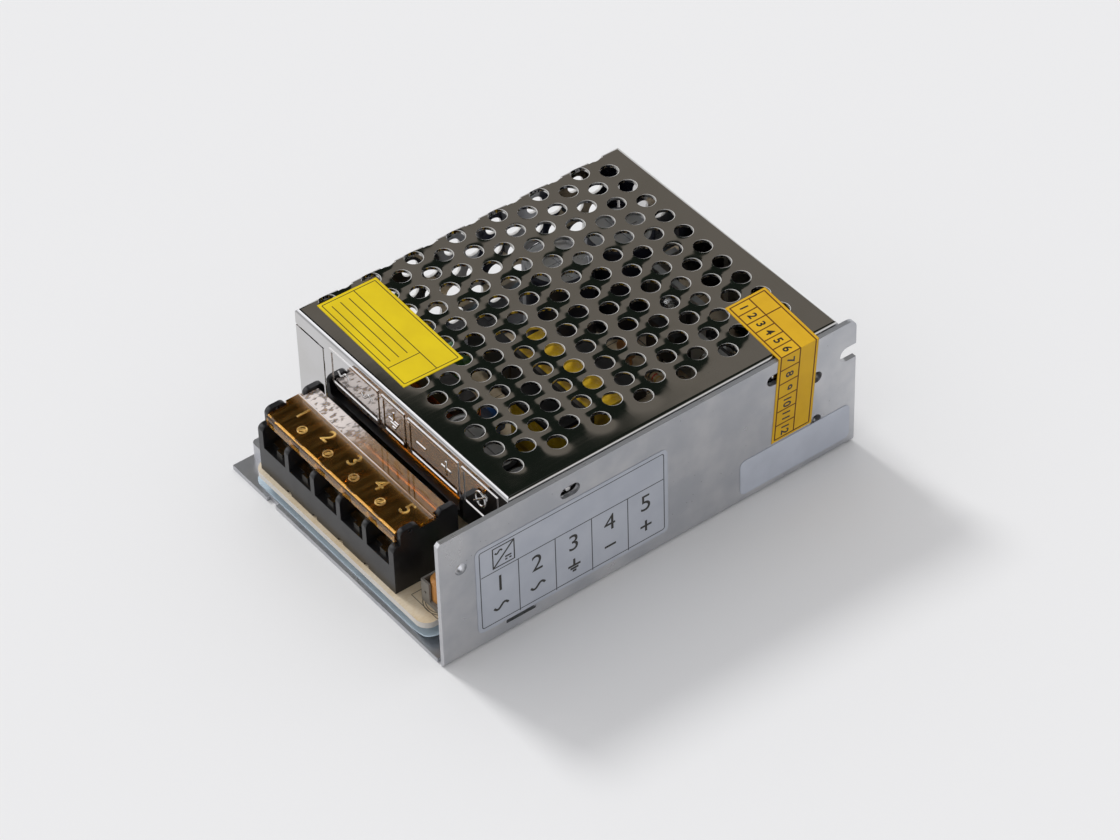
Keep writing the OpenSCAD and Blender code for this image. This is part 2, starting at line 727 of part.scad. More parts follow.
module mesh_cover() {
    tab_x = x_left + tab_w;
    strip_z = case_h - strip_h;
    tab_z = board_z + fit_gap;
    rear_z = base_t;
    color(bright) {
        difference() {
            cover_envelope(0);
            cover_envelope(cover_t);
            // Front flange and corner tab
            block(tab_x, x_right, cover_y0 - cut, cover_y0 + cover_bend_r, -cut, flange_z);
            block(x_left + cover_t, tab_x + cut, cover_y0 - cut, cover_y0 + cover_bend_r, -cut, tab_z);
            block(tab_x, tab_x + seam_w, cover_y0 - cut, cover_y0 + cover_t + fit_gap, -cut, strip_z);
            block(x_left - cut, tab_x + seam_w, cover_y0 - cut, cover_y0 + cover_t + fit_gap,
                strip_z - seam_w, strip_z);
            // Rear flange, parted from the left side by a seam
            block(x_left + cover_t, x_right, cover_y1 - cover_bend_r, cover_y1 + cut, -cut, rear_z);
            block(x_left + cover_t, x_left + cover_t + seam_w, cover_y1 - cover_t - fit_gap,
                cover_y1 + cut, -cut, case_h - cover_bend_r);
            // Foot of the left side
            block(x_left - cut, x_left + cover_t + cut, cover_y0 - cut, cover_y1 + cut, -cut, fit_gap);
            // The right side is only a tucked flange, shorter than the cover
            block(cover_x1 - cover_bend_r, x_right, cover_y0 + cover_t, cover_y1 - cover_t, -cut,
                case_h - tuck_h);
            for (y = [cover_y0 + cover_t, cover_y1 - tuck_end])
                block(cover_x1 - cover_t, x_right, y, y + tuck_end - cover_t, -cut, case_h - cover_bend_r);
            mesh_holes();
            for (y = cover_screw_ys) {
                rod_x(x_left - cut, x_left + cover_t + cut, y, cover_screw_z, m3_hole_r);
                translate([x_left - fit_gap, y, cover_screw_z]) rotate([0, 90, 0])
                    cylinder(h = cover_t + 2 * fit_gap, r1 = m3_head_r + fit_gap,
                        r2 = m3_head_r - cover_t - fit_gap, $fn = round_fn);
            }
            // Room for the collars round the mounting holes
            for (p = mount_places)
                rod_x(cover_x1 - cover_t - fit_gap, x_right, p[0], p[1], collar_d / 2 + wall_gap);
        }
        for (y = snap_ys) translate([cover_x1 - least_r, y, snap_z]) rotate([0, 90, 0])
            cylinder(h = dimple_h + least_r, r1 = dimple_d / 2, r2 = dimple_d / 4, $fn = round_fn);
        for (m = mark_frames) pressed_frame(m[0], m[1]);
    }
}

// Countersunk screws that hold the cover's left side to the rail
module cover_screws() {
    color(steel) for (y = cover_screw_ys) difference() {
        translate([x_left, y, cover_screw_z]) rotate([0, 90, 0]) {
            cylinder(h = cover_t, r1 = m3_head_r, r2 = m3_head_r - cover_t, $fn = round_fn);
            cylinder(h = rail_w - fit_gap, r = m3_r, $fn = round_fn);
        }
        for (t = [0, 90]) translate([x_left, y, cover_screw_z]) rotate([t, 0, 0])
            cube([cover_t, m3_head_r, 2 * recess_r], center = true);
    }
}

// Film between the floor and the board, its right edge curled up
film_x0 = board_x0 - film_out;
film_x1 = board_x1 + film_out;
film_steps = 6;
function film_rise(t) = base_t + film_lift * t * t;
function film_side(lift) = [for (i = [0 : film_steps]) let (t = i / film_steps)
    [film_x1 - film_curl_w * (1 - t), film_rise(t) + lift]];
function reversed(list) = [for (i = [len(list) - 1 : -1 : 0]) list[i]];

module insulating_film() {
    color("aliceblue", 0.6) difference() {
        intersection() {
            along(y_front + film_front, board_y1) polygon(concat([[film_x0, base_t]], film_side(0),
                reversed(film_side(film_t)), [[film_x0, base_t + film_t]]));
            slab(film_x0, film_x1, y_front + film_front, board_y1, 0, board_z0, board_r);
        }
        for (x = fix_xs, y = fix_ys) post(x, y, standoff_d / 2 + wall_gap, 0, board_z0);
    }
}

// Standoffs clinched into the floor
module board_standoffs() {
    color(steel) for (x = fix_xs, y = fix_ys) difference() {
        union() {
            post(x, y, spigot_d / 2, 0, base_t);
            post(x, y, standoff_d / 2, base_t, board_z0);
        }
        post(x, y, m3_hole_r, -cut, board_z0 + cut);
    }
}

// Pan head with a cross recess, its seat at z; its profile is given in shares of its radius and height
pan_profile = [[0, 0], [1, 0], [1, 0.45], [0.82, 0.85], [0.5, 1], [0, 1]];
recess_reach = 1.1;

module pan_screw(x, y, z, r, h, shaft_r, shaft_l) {
    post(x, y, shaft_r, z - shaft_l, z + h / 2);
    difference() {
        translate([x, y, z]) rotate_extrude($fn = round_fn)
            polygon([for (q = pan_profile) [r * q[0], h * q[1]]]);
        for (t = [0, 90]) translate([x, y, z + h]) rotate(t)
            cube([r * recess_reach, 2 * recess_r, h], center = true);
    }
}

module board_screws() {
    color(steel) for (x = fix_xs, y = fix_ys)
        pan_screw(x, y, board_z, m3_head_r, m3_head_h, m3_r, fix_l);
}

module circuit_board() {
    color("burlywood") difference() {
        slab(board_x0, board_x1, board_y0, board_y1, board_z0, board_z, board_r);
        for (x = fix_xs, y = fix_ys) post(x, y, m3_hole_r + fit_gap, board_z0 - cut, board_z + cut);
        for (i = [0 : poles - 1]) leg_space(i, fit_gap, board_z0 - cut, board_z + cut);
    }
}

// Room for a contact's leg
module leg_space(i, gap, z0, z1) {
    block(pole_x(i) - leg_w / 2 - gap, pole_x(i) + leg_w / 2 + gap, contact_y1 - contact_t - gap,
        contact_y1 + gap, z0, z1);
}

// Side view of an end wall or rib: round front shoulder, step for the lip and low rear
module rib_outline() {
    step_z = rib_z - step_drop;
    difference() {
        union() {
            translate([block_y0, board_z]) square([block_d, back_h]);
            translate([block_y0, board_z]) square([block_d - back_t, step_z - board_z]);
            translate([block_y0 + rib_step, board_z])
                square([block_d - back_t - rib_step, rib_h]);
        }
        translate([block_y0, step_z]) corner_cut(rib_step / 2);
    }
}

// Removes a square corner and leaves a round one
module corner_cut(r) {
    difference() {
        translate([-cut, -r]) square([r + cut, r + cut]);
        translate([r, -r]) circle(r, $fn = round_fn);
    }
}

// Side view of one ear, with round top corners
ear_round = 0.8;

module ear_outline(y) {
    folded_outline(y, y + ear_l, back_z - cut, rib_z + ear_h, ear_h * ear_round);
}

module terminal_housing() {
    color(black) difference() {
        union() {
            block(block_x0, block_x1, block_y0, block_y1, board_z, seat_z);
            block(block_x0, block_x1, block_y1 - back_t, block_y1, board_z, back_z);
            for (i = [1 : poles - 1])
                across(pole_x(i) - (fit_pole_pitch + rib_t) / 2, pole_x(i) - (fit_pole_pitch - rib_t) / 2)
                    rib_outline();
            for (x = [block_x0, block_x1 - end_t]) across(x, x + end_t) rib_outline();
            for (x = [block_x0, block_x1 - ear_t], y = ear_ys) across(x, x + ear_t) ear_outline(y);
        }
        for (x = [block_x0 + ear_t - hinge_l - fit_gap, block_x1 - ear_t])
            rod_x(x, x + hinge_l + fit_gap, hinge_y, hinge_z, hinge_r + fit_r);
        for (x = [block_x0 - cut, block_x1 - ear_t - fit_gap])
            rod_x(x, x + ear_t + cut + fit_gap, ear_ys[0] + ear_l / 2, rib_z + ear_h / 2, ear_hole_r);
        for (i = [0 : poles - 1]) {
            post(pole_x(i), screw_y, boss_r + fit_gap, washer_z - shank_l - wall_gap, seat_z + cut);
            leg_space(i, fit_gap, board_z - cut, seat_z + cut);
        }
        // Shallow feet along the front, one gap at each rib
        for (i = [1 : poles - 1])
            block(pole_x(i) - (fit_pole_pitch + rib_t) / 2, pole_x(i) - (fit_pole_pitch - rib_t) / 2,
                block_y0 - cut, block_y0 + rib_t, board_z - cut, board_z + contact_t);
    }
}

// Flat contact with a nose at the front, a threaded boss and a leg through the board
module terminal_contacts() {
    color("gold") for (i = [0 : poles - 1]) difference() {
        union() {
            block(pole_x(i) - fit_contact_w / 2, pole_x(i) + fit_contact_w / 2, contact_y0, contact_y1,
                seat_z, contact_z);
            block(pole_x(i) - nose_w / 2, pole_x(i) + nose_w / 2, contact_y0 - nose_l, contact_y0,
                seat_z, contact_z);
            post(pole_x(i), screw_y, boss_r, seat_z - boss_h, contact_z);
            leg_space(i, 0, board_z0 - leg_out, seat_z + fit_r);
        }
        post(pole_x(i), screw_y, shank_r + fit_r, seat_z - boss_h - cut, contact_z + cut);
    }
}

// Square washer carried by a terminal screw, with a bevelled upper edge
module clamp_washer(i) {
    color(steel) difference() {
        slab(pole_x(i) - fit_washer_w / 2, pole_x(i) + fit_washer_w / 2, screw_y - fit_washer_w / 2,
            screw_y + fit_washer_w / 2, contact_z, washer_z, contact_t);
        post(pole_x(i), screw_y, shank_r + fit_r, contact_z - cut, washer_z + cut);
    }
}

module terminal_screw(i) {
    color(steel) pan_screw(pole_x(i), screw_y, washer_z, fit_head_r, head_h, shank_r, shank_l);
}

// Side view of the lid: round front edge, lip, flat top and rear wall
module lid_outline() {
    difference() {
        union() {
            translate([lid_y0, lid_z1 - lip_h]) square([lip_t, lip_h]);
            translate([lid_y0, lid_z0]) square([lid_y1 - lid_y0, lid_t]);
            translate([lid_y1 - 2 * hinge_r, lid_z1 - lid_back_h]) square([2 * hinge_r, lid_back_h]);
        }
        translate([lid_y0, lid_z1]) corner_cut(lid_edge_r);
        translate([lid_y1 - 2 * hinge_r + lip_t, lid_z1]) mirror([1, 0]) translate([-lip_t, 0])
            corner_cut(hinge_r / 2);
    }
}

module terminal_lid() {
    tab_y = (ear_ys[0] + ear_l + ear_ys[1]) / 2;
    color("orange", 0.6) {
        across(lid_x0, lid_x1) lid_outline();
        block(lid_x0 - lid_tab, lid_x1 + lid_tab, tab_y - lid_tab_w / 2, tab_y + lid_tab_w / 2,
            lid_z0, lid_z1);
        rod_x(lid_x0 - hinge_l, lid_x0 + hinge_l, hinge_y, hinge_z, hinge_r);
        rod_x(lid_x1 - hinge_l, lid_x1 + hinge_l, hinge_y, hinge_z, hinge_r);
    }
}

// Base plate, pivot pin and the two upright plates of the adjuster
module adjuster_body() {
    plate_w = 2.8;
    plate_h = 6.1;
    color("gray") {
        block(trim_x0, trim_x0 + trim_w, trim_y0, trim_y0 + trim_w, board_z, board_z + trim_base_h);
        post(trim_cx, trim_cy, trim_pin_r, board_z, board_z + trim_base_h + trim_pin_h);
        for (y = [trim_y0, trim_y0 + trim_w - trim_plate]) difference() {
            block(trim_x0, trim_x0 + plate_w, y, y + trim_plate, board_z, board_z + plate_h);
            rod_y(trim_x0 + plate_w / 2, y - cut, y + trim_plate + cut, board_z + plate_h / 2,
                recess_r, wire_fn);
        }
        block(trim_x0, trim_x0 + trim_plate, trim_y0, trim_y0 + trim_w, board_z, board_z + plate_h);
    }
}

module adjuster_rotor() {
    slot_w = 0.9;
    edge = 0.6;
    color("orange") difference() {
        translate([trim_cx, trim_cy, rotor_z]) rotate_extrude($fn = round_fn)
            polygon([[0, 0], [rotor_r, 0], [rotor_r, rotor_h - edge], [rotor_r - edge, rotor_h],
                [0, rotor_h]]);
        post(trim_cx, trim_cy, trim_pin_r + fit_r, rotor_z - cut, rotor_z + trim_pin_h);
        translate([trim_cx, trim_cy, rotor_z + rotor_h])
            cube([2 * rotor_r - slot_w, slot_w, 2 * slot_w], center = true);
    }
}

// Small round lamp with a collar, a dome and two wires
lamp_side = 4.2;
lamp_front = 15.2;
lamp_stem = 2;
lamp_h = 3;
collar_t = 0.8;
collar_out = 0.4;
lamp_wire_in = 0.6;
lamp_wire_r = 0.3;
wire_r = 0.4;

module indicator_lamp() {
    x = board_x1 - lamp_side;
    y = board_y0 + lamp_front;
    z = board_z + lamp_stem;
    color("palegreen") {
        post(x, y, lamp_r + collar_out, z, z + collar_t);
        post(x, y, lamp_r, z, z + lamp_h);
        translate([x, y, z + lamp_h]) sphere(lamp_r, $fn = round_fn);
        for (s = [-1, 1]) post(x, y + s * (lamp_r - lamp_wire_in), lamp_wire_r, board_z, z + wire_r, wire_fn);
    }
}

// Glass fuse with soldered wires, along the board's left edge
fuse_x_std = 4.2;
fuse_x = at_x(fuse_x_std);
fuse_y0 = zone_y0;
fuse_l_std = 20;
fuse_l = long * fuse_l_std;
fuse_r_std = 2.4;
fuse_r = plan * fuse_r_std;
fuse_z_std = 3.2;
fuse_z = board_z + plan * fuse_z_std;
fuse_cap_l = fuse_l / 4;
fuse_wall = 0.5;
fuse_cap_t = 0.3;
fuse_wire = 0.6;

module fuse_tube() {
    color("lightcyan", 0.5) difference() {
        rod_y(fuse_x, fuse_y0 + fuse_cap_l / 2, fuse_y0 + fuse_l - fuse_cap_l / 2, fuse_z, fuse_r);
        rod_y(fuse_x, fuse_y0, fuse_y0 + fuse_l, fuse_z, fuse_r - fuse_wall);
    }
}

module fuse_ends() {
    color(steel) {
        for (s = [0, 1]) translate([0, s * (fuse_l - fuse_cap_l), 0]) difference() {
            rod_y(fuse_x, fuse_y0, fuse_y0 + fuse_cap_l, fuse_z, fuse_r + fuse_cap_t);
            rod_y(fuse_x, fuse_y0 + (1 - s) * fuse_cap_l / 2 - s, fuse_y0 + fuse_cap_l / (1 + s) + 1 - s,
                fuse_z, fuse_r);
        }
        for (y = [fuse_y0 - fuse_wire, fuse_y0 + fuse_l + fuse_wire]) {
            post(fuse_x, y, wire_r, board_z, fuse_z + wire_r, wire_fn);
            rod_y(fuse_x, min(y, fuse_y0 + fuse_l - wire_r), max(y, fuse_y0 + wire_r), fuse_z, wire_r,
                wire_fn);
        }
    }
}

// Box capacitor across the line
filter_x0_std = 8.5;
filter_x0 = at_x(filter_x0_std);
filter_l_std = 17.5;
filter_l = wide * filter_l_std;
filter_front = 25.2;
filter_y = board_y0 + filter_front;
filter_w = 8.5;
filter_h_std = 14;
filter_h = tall * filter_h_std;
filter_lift = 0.5;
filter_r = 0.6;
filter_pin = 1.5;

module line_filter_capacitor() {
    color("gold") {
        slab(filter_x0, filter_x0 + filter_l, filter_y - filter_w / 2, filter_y + filter_w / 2,
            board_z + filter_lift, board_z + filter_h, filter_r);
        for (x = [filter_x0 + filter_pin, filter_x0 + filter_l - filter_pin])
            post(x, filter_y, wire_r, board_z, board_z + 2 * filter_lift, wire_fn);
    }
}

// Common mode choke: a square ferrite ring with a coil on each upright leg
choke_cx_std = 18.2;
choke_cx = at_x(choke_cx_std);
choke_cy_std = 38;
choke_cy = at_y(choke_cy_std);
choke_w_std = 19;
choke_w = plan * choke_w_std;
choke_h_std = 16;
choke_h = tall * choke_h_std;
choke_d_std = 5;
choke_d = plan * choke_d_std;
choke_leg_std = 5;
choke_leg = plan * choke_leg_std;
choke_yoke_std = 4;
choke_yoke = tall * choke_yoke_std;
choke_lift = 1;
choke_z = board_z + choke_lift;
coil_r_std = 4.3;
coil_r = plan * coil_r_std;
coil_wire = 1.1;
coil_end_in = 0.7;
coil_end_r = 0.5;

module choke_core() {
    color(black) along(choke_cy - choke_d / 2, choke_cy + choke_d / 2) difference() {
        translate([choke_cx - choke_w / 2, choke_z]) square([choke_w, choke_h]);
        translate([choke_cx - choke_w / 2 + choke_leg, choke_z + choke_yoke])
            square([choke_w - 2 * choke_leg, choke_h - 2 * choke_yoke]);
    }
}

// Turns of a coil as a stack of ridges round an upright line, from z0 to z1
ridge_share = 0.3;

module ridged_coil(x, y, r, z0, z1, wire) {
    n = floor((z1 - z0) / wire);
    groove_r = r - wire * ridge_share;
    translate([x, y, z0]) rotate_extrude($fn = round_fn) polygon(concat([[0, 0]],
        [for (i = [0 : n - 1], k = [0, 1]) [k == 0 ? groove_r : r, (i + k / 2) * wire]],
        [[groove_r, n * wire], [0, n * wire]]));
}

module choke_windings() {
    leg_x = (choke_w - choke_leg) / 2;
    color("peru") {
        for (s = [-1, 1]) difference() {
            ridged_coil(choke_cx + s * leg_x, choke_cy, coil_r, choke_z + choke_yoke,
                choke_z + choke_h - choke_yoke, coil_wire);
            block(choke_cx + s * leg_x - choke_leg / 2 - fit_r, choke_cx + s * leg_x + choke_leg / 2 + fit_r,
                choke_cy - choke_d / 2 - fit_r, choke_cy + choke_d / 2 + fit_r, choke_z, choke_z + choke_h);
        }
        for (s = [-1, 1], t = [-1, 1])
            post(choke_cx + s * leg_x, choke_cy + t * (coil_r - coil_end_in), coil_end_r, board_z,
                choke_z + choke_yoke + choke_lift, wire_fn);
    }
}

// Upright disc with two wires, at a place given in shares, facing along Y unless turned
disc_lift = 1;
disc_wire_r = 0.35;
disc_wire_share = 0.55;
disc_rim_share = 0.3;
disc_edge_share = 0.2;

module disc_part(place, r, t, turn) {
    rim = t * disc_rim_share;
    edge = t * disc_edge_share;
    translate([at_x(place[0]), at_y(place[1]), 0]) rotate(turn) {
        translate([0, 0, board_z + r + disc_lift]) rotate([90, 0, 0]) rotate_extrude($fn = round_fn)
            polygon([[0, -t / 2], [r - rim, -t / 2], [r, -edge], [r, edge], [r - rim, t / 2], [0, t / 2]]);
        for (s = [-1, 1]) post(s * r * disc_wire_share, 0, disc_wire_r, board_z, board_z + r, wire_fn);
    }
}

bypass_r_std = 4;
bypass_r = plan * bypass_r_std;
bypass_t_std = 3;
bypass_t = plan * bypass_t_std;
bypass_gap_std = 2.5;
bypass_x_std = (filter_x0 + filter_l - board_x0) / wide + bypass_gap_std;
bypass_places = [[bypass_x_std, 26, 90], [24, 47, 0]];

module bypass_capacitors() {
    color("steelblue") for (p = bypass_places) disc_part(p, bypass_r, bypass_t, p[2]);
}

surge_place = [5.8, 51];
surge_r_std = 4.6;
surge_r = plan * surge_r_std;
surge_t_std = 4;
surge_t = plan * surge_t_std;

module surge_thermistor() {
    color("darkolivegreen") disc_part(surge_place, surge_r, surge_t, 0);
}

// Flat upright bridge with a bevelled corner and four legs
bridge_place = [3.5, 55.7];
bridge_w_std = 15;
bridge_w = plan * bridge_w_std;
bridge_t_std = 3.6;
bridge_t = plan * bridge_t_std;
bridge_h_std = 11;
bridge_h = tall * bridge_h_std;
bridge_lift = 2.5;
bridge_bevel = 2;
bridge_leg_r = 0.45;
bridge_leg_in = 1.7;

module bridge_rectifier() {
    x0 = at_x(bridge_place[0]);
    y0 = at_y(bridge_place[1]);
    z0 = board_z + bridge_lift;
    step = (bridge_w - 2 * bridge_leg_in) / 3;
    color(black) {
        along(y0, y0 + bridge_t) polygon([[x0, z0], [x0 + bridge_w, z0],
            [x0 + bridge_w, z0 + bridge_h - bridge_bevel], [x0 + bridge_w - bridge_bevel, z0 + bridge_h],
            [x0, z0 + bridge_h]]);
        for (i = [0 : 3])
            post(x0 + bridge_leg_in + i * step, y0 + bridge_t / 2, bridge_leg_r, board_z, z0 + bridge_leg_r,
                wire_fn);
    }
}

// Can with a bead near its foot and a sleeve rolled over the rim of its top
bead_z = 2.4;
bead_h = 1.2;
bead_in = 0.5;
sleeve_w = 1.1;
top_sink = 0.4;
foot_r = 0.3;

module can_capacitor(x, y, d, h) {
    r = d / 2;
    translate([x, y, board_z]) rotate_extrude($fn = round_fn)
        polygon([[0, 0], [r - foot_r, 0], [r, top_sink], [r, bead_z - bead_h / 2], [r - bead_in, bead_z],
            [r, bead_z + bead_h / 2], [r, h - bead_in], [r - bead_in, h], [r - sleeve_w, h],
            [r - sleeve_w - foot_r, h - top_sink], [0, h - top_sink]]);
}

module input_capacitor(i) {
    color("slategray") can_capacitor(at_x(input_cap_x),
        at_y(input_cap_y + i * input_cap_step), plan * input_cap_d, tall * input_cap_h);
}

// The last output capacitor stands in line with the others, nearest the right edge
output_last_std = 58;

module output_capacitor(i) {
    color("slategray") can_capacitor(at_x(output_last_std - (2 - i) * output_cap_step),
        at_y(output_cap_y), plan * output_cap_d, tall * output_cap_h);
}

auxiliary_place = [52, 75.5];
auxiliary_d_std = 8;
auxiliary_d = plan * auxiliary_d_std;
auxiliary_h_std = 12;
auxiliary_h = tall * auxiliary_h_std;

module auxiliary_capacitor() {
    color("slategray") can_capacitor(at_x(auxiliary_place[0]), at_y(auxiliary_place[1]), auxiliary_d,
        auxiliary_h);
}

// Two E halves seen from the front: outer frame, two windows and a centre leg
module transformer_core() {
    win = fit_core_w / 2 - fit_core_leg - fit_core_mid / 2;
    color(black) along(core_cy - fit_core_d / 2, core_cy + fit_core_d / 2) difference() {
        translate([core_cx - fit_core_w / 2, core_z]) square([fit_core_w, fit_core_h]);
        for (s = [-1, 1])
            translate([core_cx + s * (fit_core_mid + win) / 2 - win / 2, window_z0])
                square([win, window_z1 - window_z0]);
    }
}

// Bobbin: a square tube on the centre leg, two flanges and a pin rail at each end
bobbin_out = 0.5;
rail_in = 2;
pin_step = 4.8;
pin_count = 5;

module transformer_bobbin() {
    tube_x = fit_core_mid / 2 + fit_gap;
    tube_y = fit_core_d / 2 + fit_gap;
    flange_x = fit_core_w / 2 - fit_core_leg - fit_gap;
    flange_y = fit_winding_d / 2 + bobbin_out;
    rail_y = flange_y + rail_out - bobbin_rail;
    rail_x = fit_core_w / 2 - rail_in;
    color("beige") difference() {
        union() {
            block(core_cx - tube_x - bobbin_wall, core_cx + tube_x + bobbin_wall,
                core_cy - tube_y - bobbin_wall, core_cy + tube_y + bobbin_wall,
                window_z0 + fit_gap, window_z1);
            for (z = [window_z0 + fit_gap, window_z1 - bobbin_wall])
                slab(core_cx - flange_x, core_cx + flange_x, core_cy - flange_y, core_cy + flange_y,
                    z, z + bobbin_wall, bobbin_wall);
            for (s = [-1, 1]) {
                y = core_cy + s * (rail_y + bobbin_rail / 2);
                block(core_cx - rail_x, core_cx + rail_x, y - bobbin_rail / 2, y + bobbin_rail / 2,
                    board_z + bobbin_out, window_z0 + fit_gap + bobbin_wall);
                for (i = [0 : pin_count - 1])
                    post(core_cx + (i - (pin_count - 1) / 2) * pin_step, y, wire_r, board_z,
                        board_z + 2 * bobbin_out, wire_fn);
            }
        }
        block(core_cx - tube_x, core_cx + tube_x, core_cy - tube_y, core_cy + tube_y,
            window_z0 - cut, window_z1 + cut);
    }
}

// Winding packed between the bobbin's flanges
winding_r = 4;

module transformer_winding() {
    tube_x = fit_core_mid / 2 + 2 * fit_gap + bobbin_wall;
    tube_y = fit_core_d / 2 + 2 * fit_gap + bobbin_wall;
    half_x = fit_core_w / 2 - fit_core_leg - 3 * fit_gap;
    color("gold") difference() {
        slab(core_cx - half_x, core_cx + half_x, core_cy - fit_winding_d / 2, core_cy + fit_winding_d / 2,
            window_z0 + fit_gap + bobbin_wall, window_z1 - fit_gap - bobbin_wall, winding_r);
        block(core_cx - tube_x, core_cx + tube_x, core_cy - tube_y, core_cy + tube_y,
            window_z0, window_z1);
    }
}

// Tape that binds the two halves of the core
tape_t = 0.2;
tape_in = 2;

module transformer_tape() {
    tape_w = fit_core_d - tape_in;
    color("yellow") along(core_cy - tape_w / 2, core_cy + tape_w / 2) difference() {
        translate([core_cx - fit_core_w / 2 - tape_t, core_z - tape_t])
            square([fit_core_w + 2 * tape_t, fit_core_h + 2 * tape_t]);
        translate([core_cx - fit_core_w / 2, core_z]) square([fit_core_w, fit_core_h]);
    }
}

// Drum core choke: two flanges on a thin stem, wound with wire
drum_place = [58.9, 40.2];
drum_r_std = 3.8;
drum_r = plan * drum_r_std;
drum_h_std = 11;
drum_h = tall * drum_h_std;
drum_flange = 1.6;
drum_stem_r_std = 2;
drum_stem_r = plan * drum_stem_r_std;
drum_lift = 0.6;
drum_wire = 0.9;
drum_x = at_x(drum_place[0]);
drum_y = at_y(drum_place[1]);
drum_z = board_z + drum_lift;

module output_choke_core() {
    color(black) {
        post(drum_x, drum_y, drum_r, drum_z, drum_z + drum_flange);
        post(drum_x, drum_y, drum_stem_r, drum_z, drum_z + drum_h);
        post(drum_x, drum_y, drum_r, drum_z + drum_h - drum_flange, drum_z + drum_h);
        for (s = [-1, 1])
            post(drum_x + s * drum_flange, drum_y, wire_r, board_z, drum_z + wire_r, wire_fn);
    }
}

module output_choke_coil() {
    color("peru") difference() {
        ridged_coil(drum_x, drum_y, drum_r - wire_r, drum_z + drum_flange, drum_z + drum_h - drum_flange,
            drum_wire);
        post(drum_x, drum_y, drum_stem_r + fit_r, drum_z, drum_z + drum_h);
    }
}

// Heatsink plate with a folded end and two feet, drilled for its transistor
module heatsink_plate(x0, x1, y, h, hole_x, fold_x, fold_y) {
    z = board_z + sink_lift;
    difference() {
        union() {
            block(x0, x1, y, y + sink_t, z, board_z + h);
            block(fold_x, fold_x + sink_t, min(y, fold_y), max(y + sink_t, fold_y), z, board_z + h);
            for (x = [x0 + foot_in, x1 - foot_in])
                block(x - foot_w / 2, x + foot_w / 2, y, y + sink_t, board_z, z + sink_lift);
        }
        rod_y(hole_x, y - cut, y + sink_t + cut, tab_hole_z, m3_hole_r);
    }
}

transistor_x_std = 10.5;
transistor_x = sink_x0 + wide * transistor_x_std;
rectifier_x_std = 8;
rectifier_x = sink2_x1 - wide * rectifier_x_std;

module primary_heatsink() {
    color("gainsboro") heatsink_plate(sink_x0, sink_x0 + fit_sink_l, sink_y, fit_sink_h, transistor_x,
        sink_x0, sink_y + sink_fold);
}

module secondary_heatsink() {
    color("gainsboro") heatsink_plate(sink2_x1 - fit_sink2_l, sink2_x1, sink2_y, fit_sink2_h, rectifier_x,
        sink2_x1 - sink_t, sink2_y - sink_fold);
}

// Three legged power case, its metal tab on the plane y, body on the side given by dir
pin_pitch_std = 2.54;
pin_pitch = plan * pin_pitch_std;

module power_case(x, y, dir) {
    z0 = tab_hole_z - case_tab_h + case_hole_drop;
    translate([x, y, 0]) difference() {
        union() {
            block(-case_x / 2, case_x / 2, min(0, dir * case_y), max(0, dir * case_y), z0, z0 + case_body_h);
            block(-case_x / 2, case_x / 2, min(0, dir * case_tab_t), max(0, dir * case_tab_t),
                z0, z0 + case_tab_h);
            for (i = [-1 : 1])
                block(i * pin_pitch - case_leg_w / 2, i * pin_pitch + case_leg_w / 2,
                    dir * case_leg_y - case_leg_t / 2, dir * case_leg_y + case_leg_t / 2, board_z,
                    z0 + case_leg_w);
        }
        rod_y(0, min(0, dir * case_tab_t) - cut, max(0, dir * case_tab_t) + cut, tab_hole_z,
            m3_hole_r + fit_gap);
    }
}

module switching_transistor() {
    color(black) power_case(transistor_x, sink_y, -1);
}

module output_rectifier() {
    color(black) power_case(rectifier_x, sink2_y + sink_t, 1);
}

// Screws through the power cases and the heatsinks, with their nuts
screw_past = 3;
head_in = 0.2;

module heatsink_screw(x, y, dir) {
    translate([x, y, tab_hole_z]) rotate([dir * 90, 0, 0])
        pan_screw(0, 0, 0, m3_head_r - head_in, m3_head_h, m3_r, case_tab_t + sink_t + screw_past);
}

module heatsink_screws() {
    color(steel) {
        heatsink_screw(transistor_x, sink_y - case_tab_t, 1);
        heatsink_screw(rectifier_x, sink2_y + sink_t + case_tab_t, -1);
    }
}

module heatsink_nut(x, y0) {
    difference() {
        translate([x, y0 + nut_h, tab_hole_z]) rotate([90, 0, 0]) cylinder(h = nut_h, r = nut_r, $fn = 6);
        rod_y(x, y0 - cut, y0 + nut_h + cut, tab_hole_z, m3_hole_r);
    }
}

module heatsink_nuts() {
    color(steel) {
        heatsink_nut(transistor_x, sink_y + sink_t);
        heatsink_nut(rectifier_x, sink2_y - nut_h);
    }
}

// Dual in line case, its rows of legs along X
dip_w_std = 6.4;
dip_w = plan * dip_w_std;
dip_h = 3.3;
dip_lift = 0.5;
dip_mark_r = 0.9;
dip_leg_t = 0.4;
dip_leg_z = 1.3;
dip_leg_w = 1.4;
dip_tip_w = 0.6;
dip_tip_t = 0.3;
dip_tip_out = 0.65;

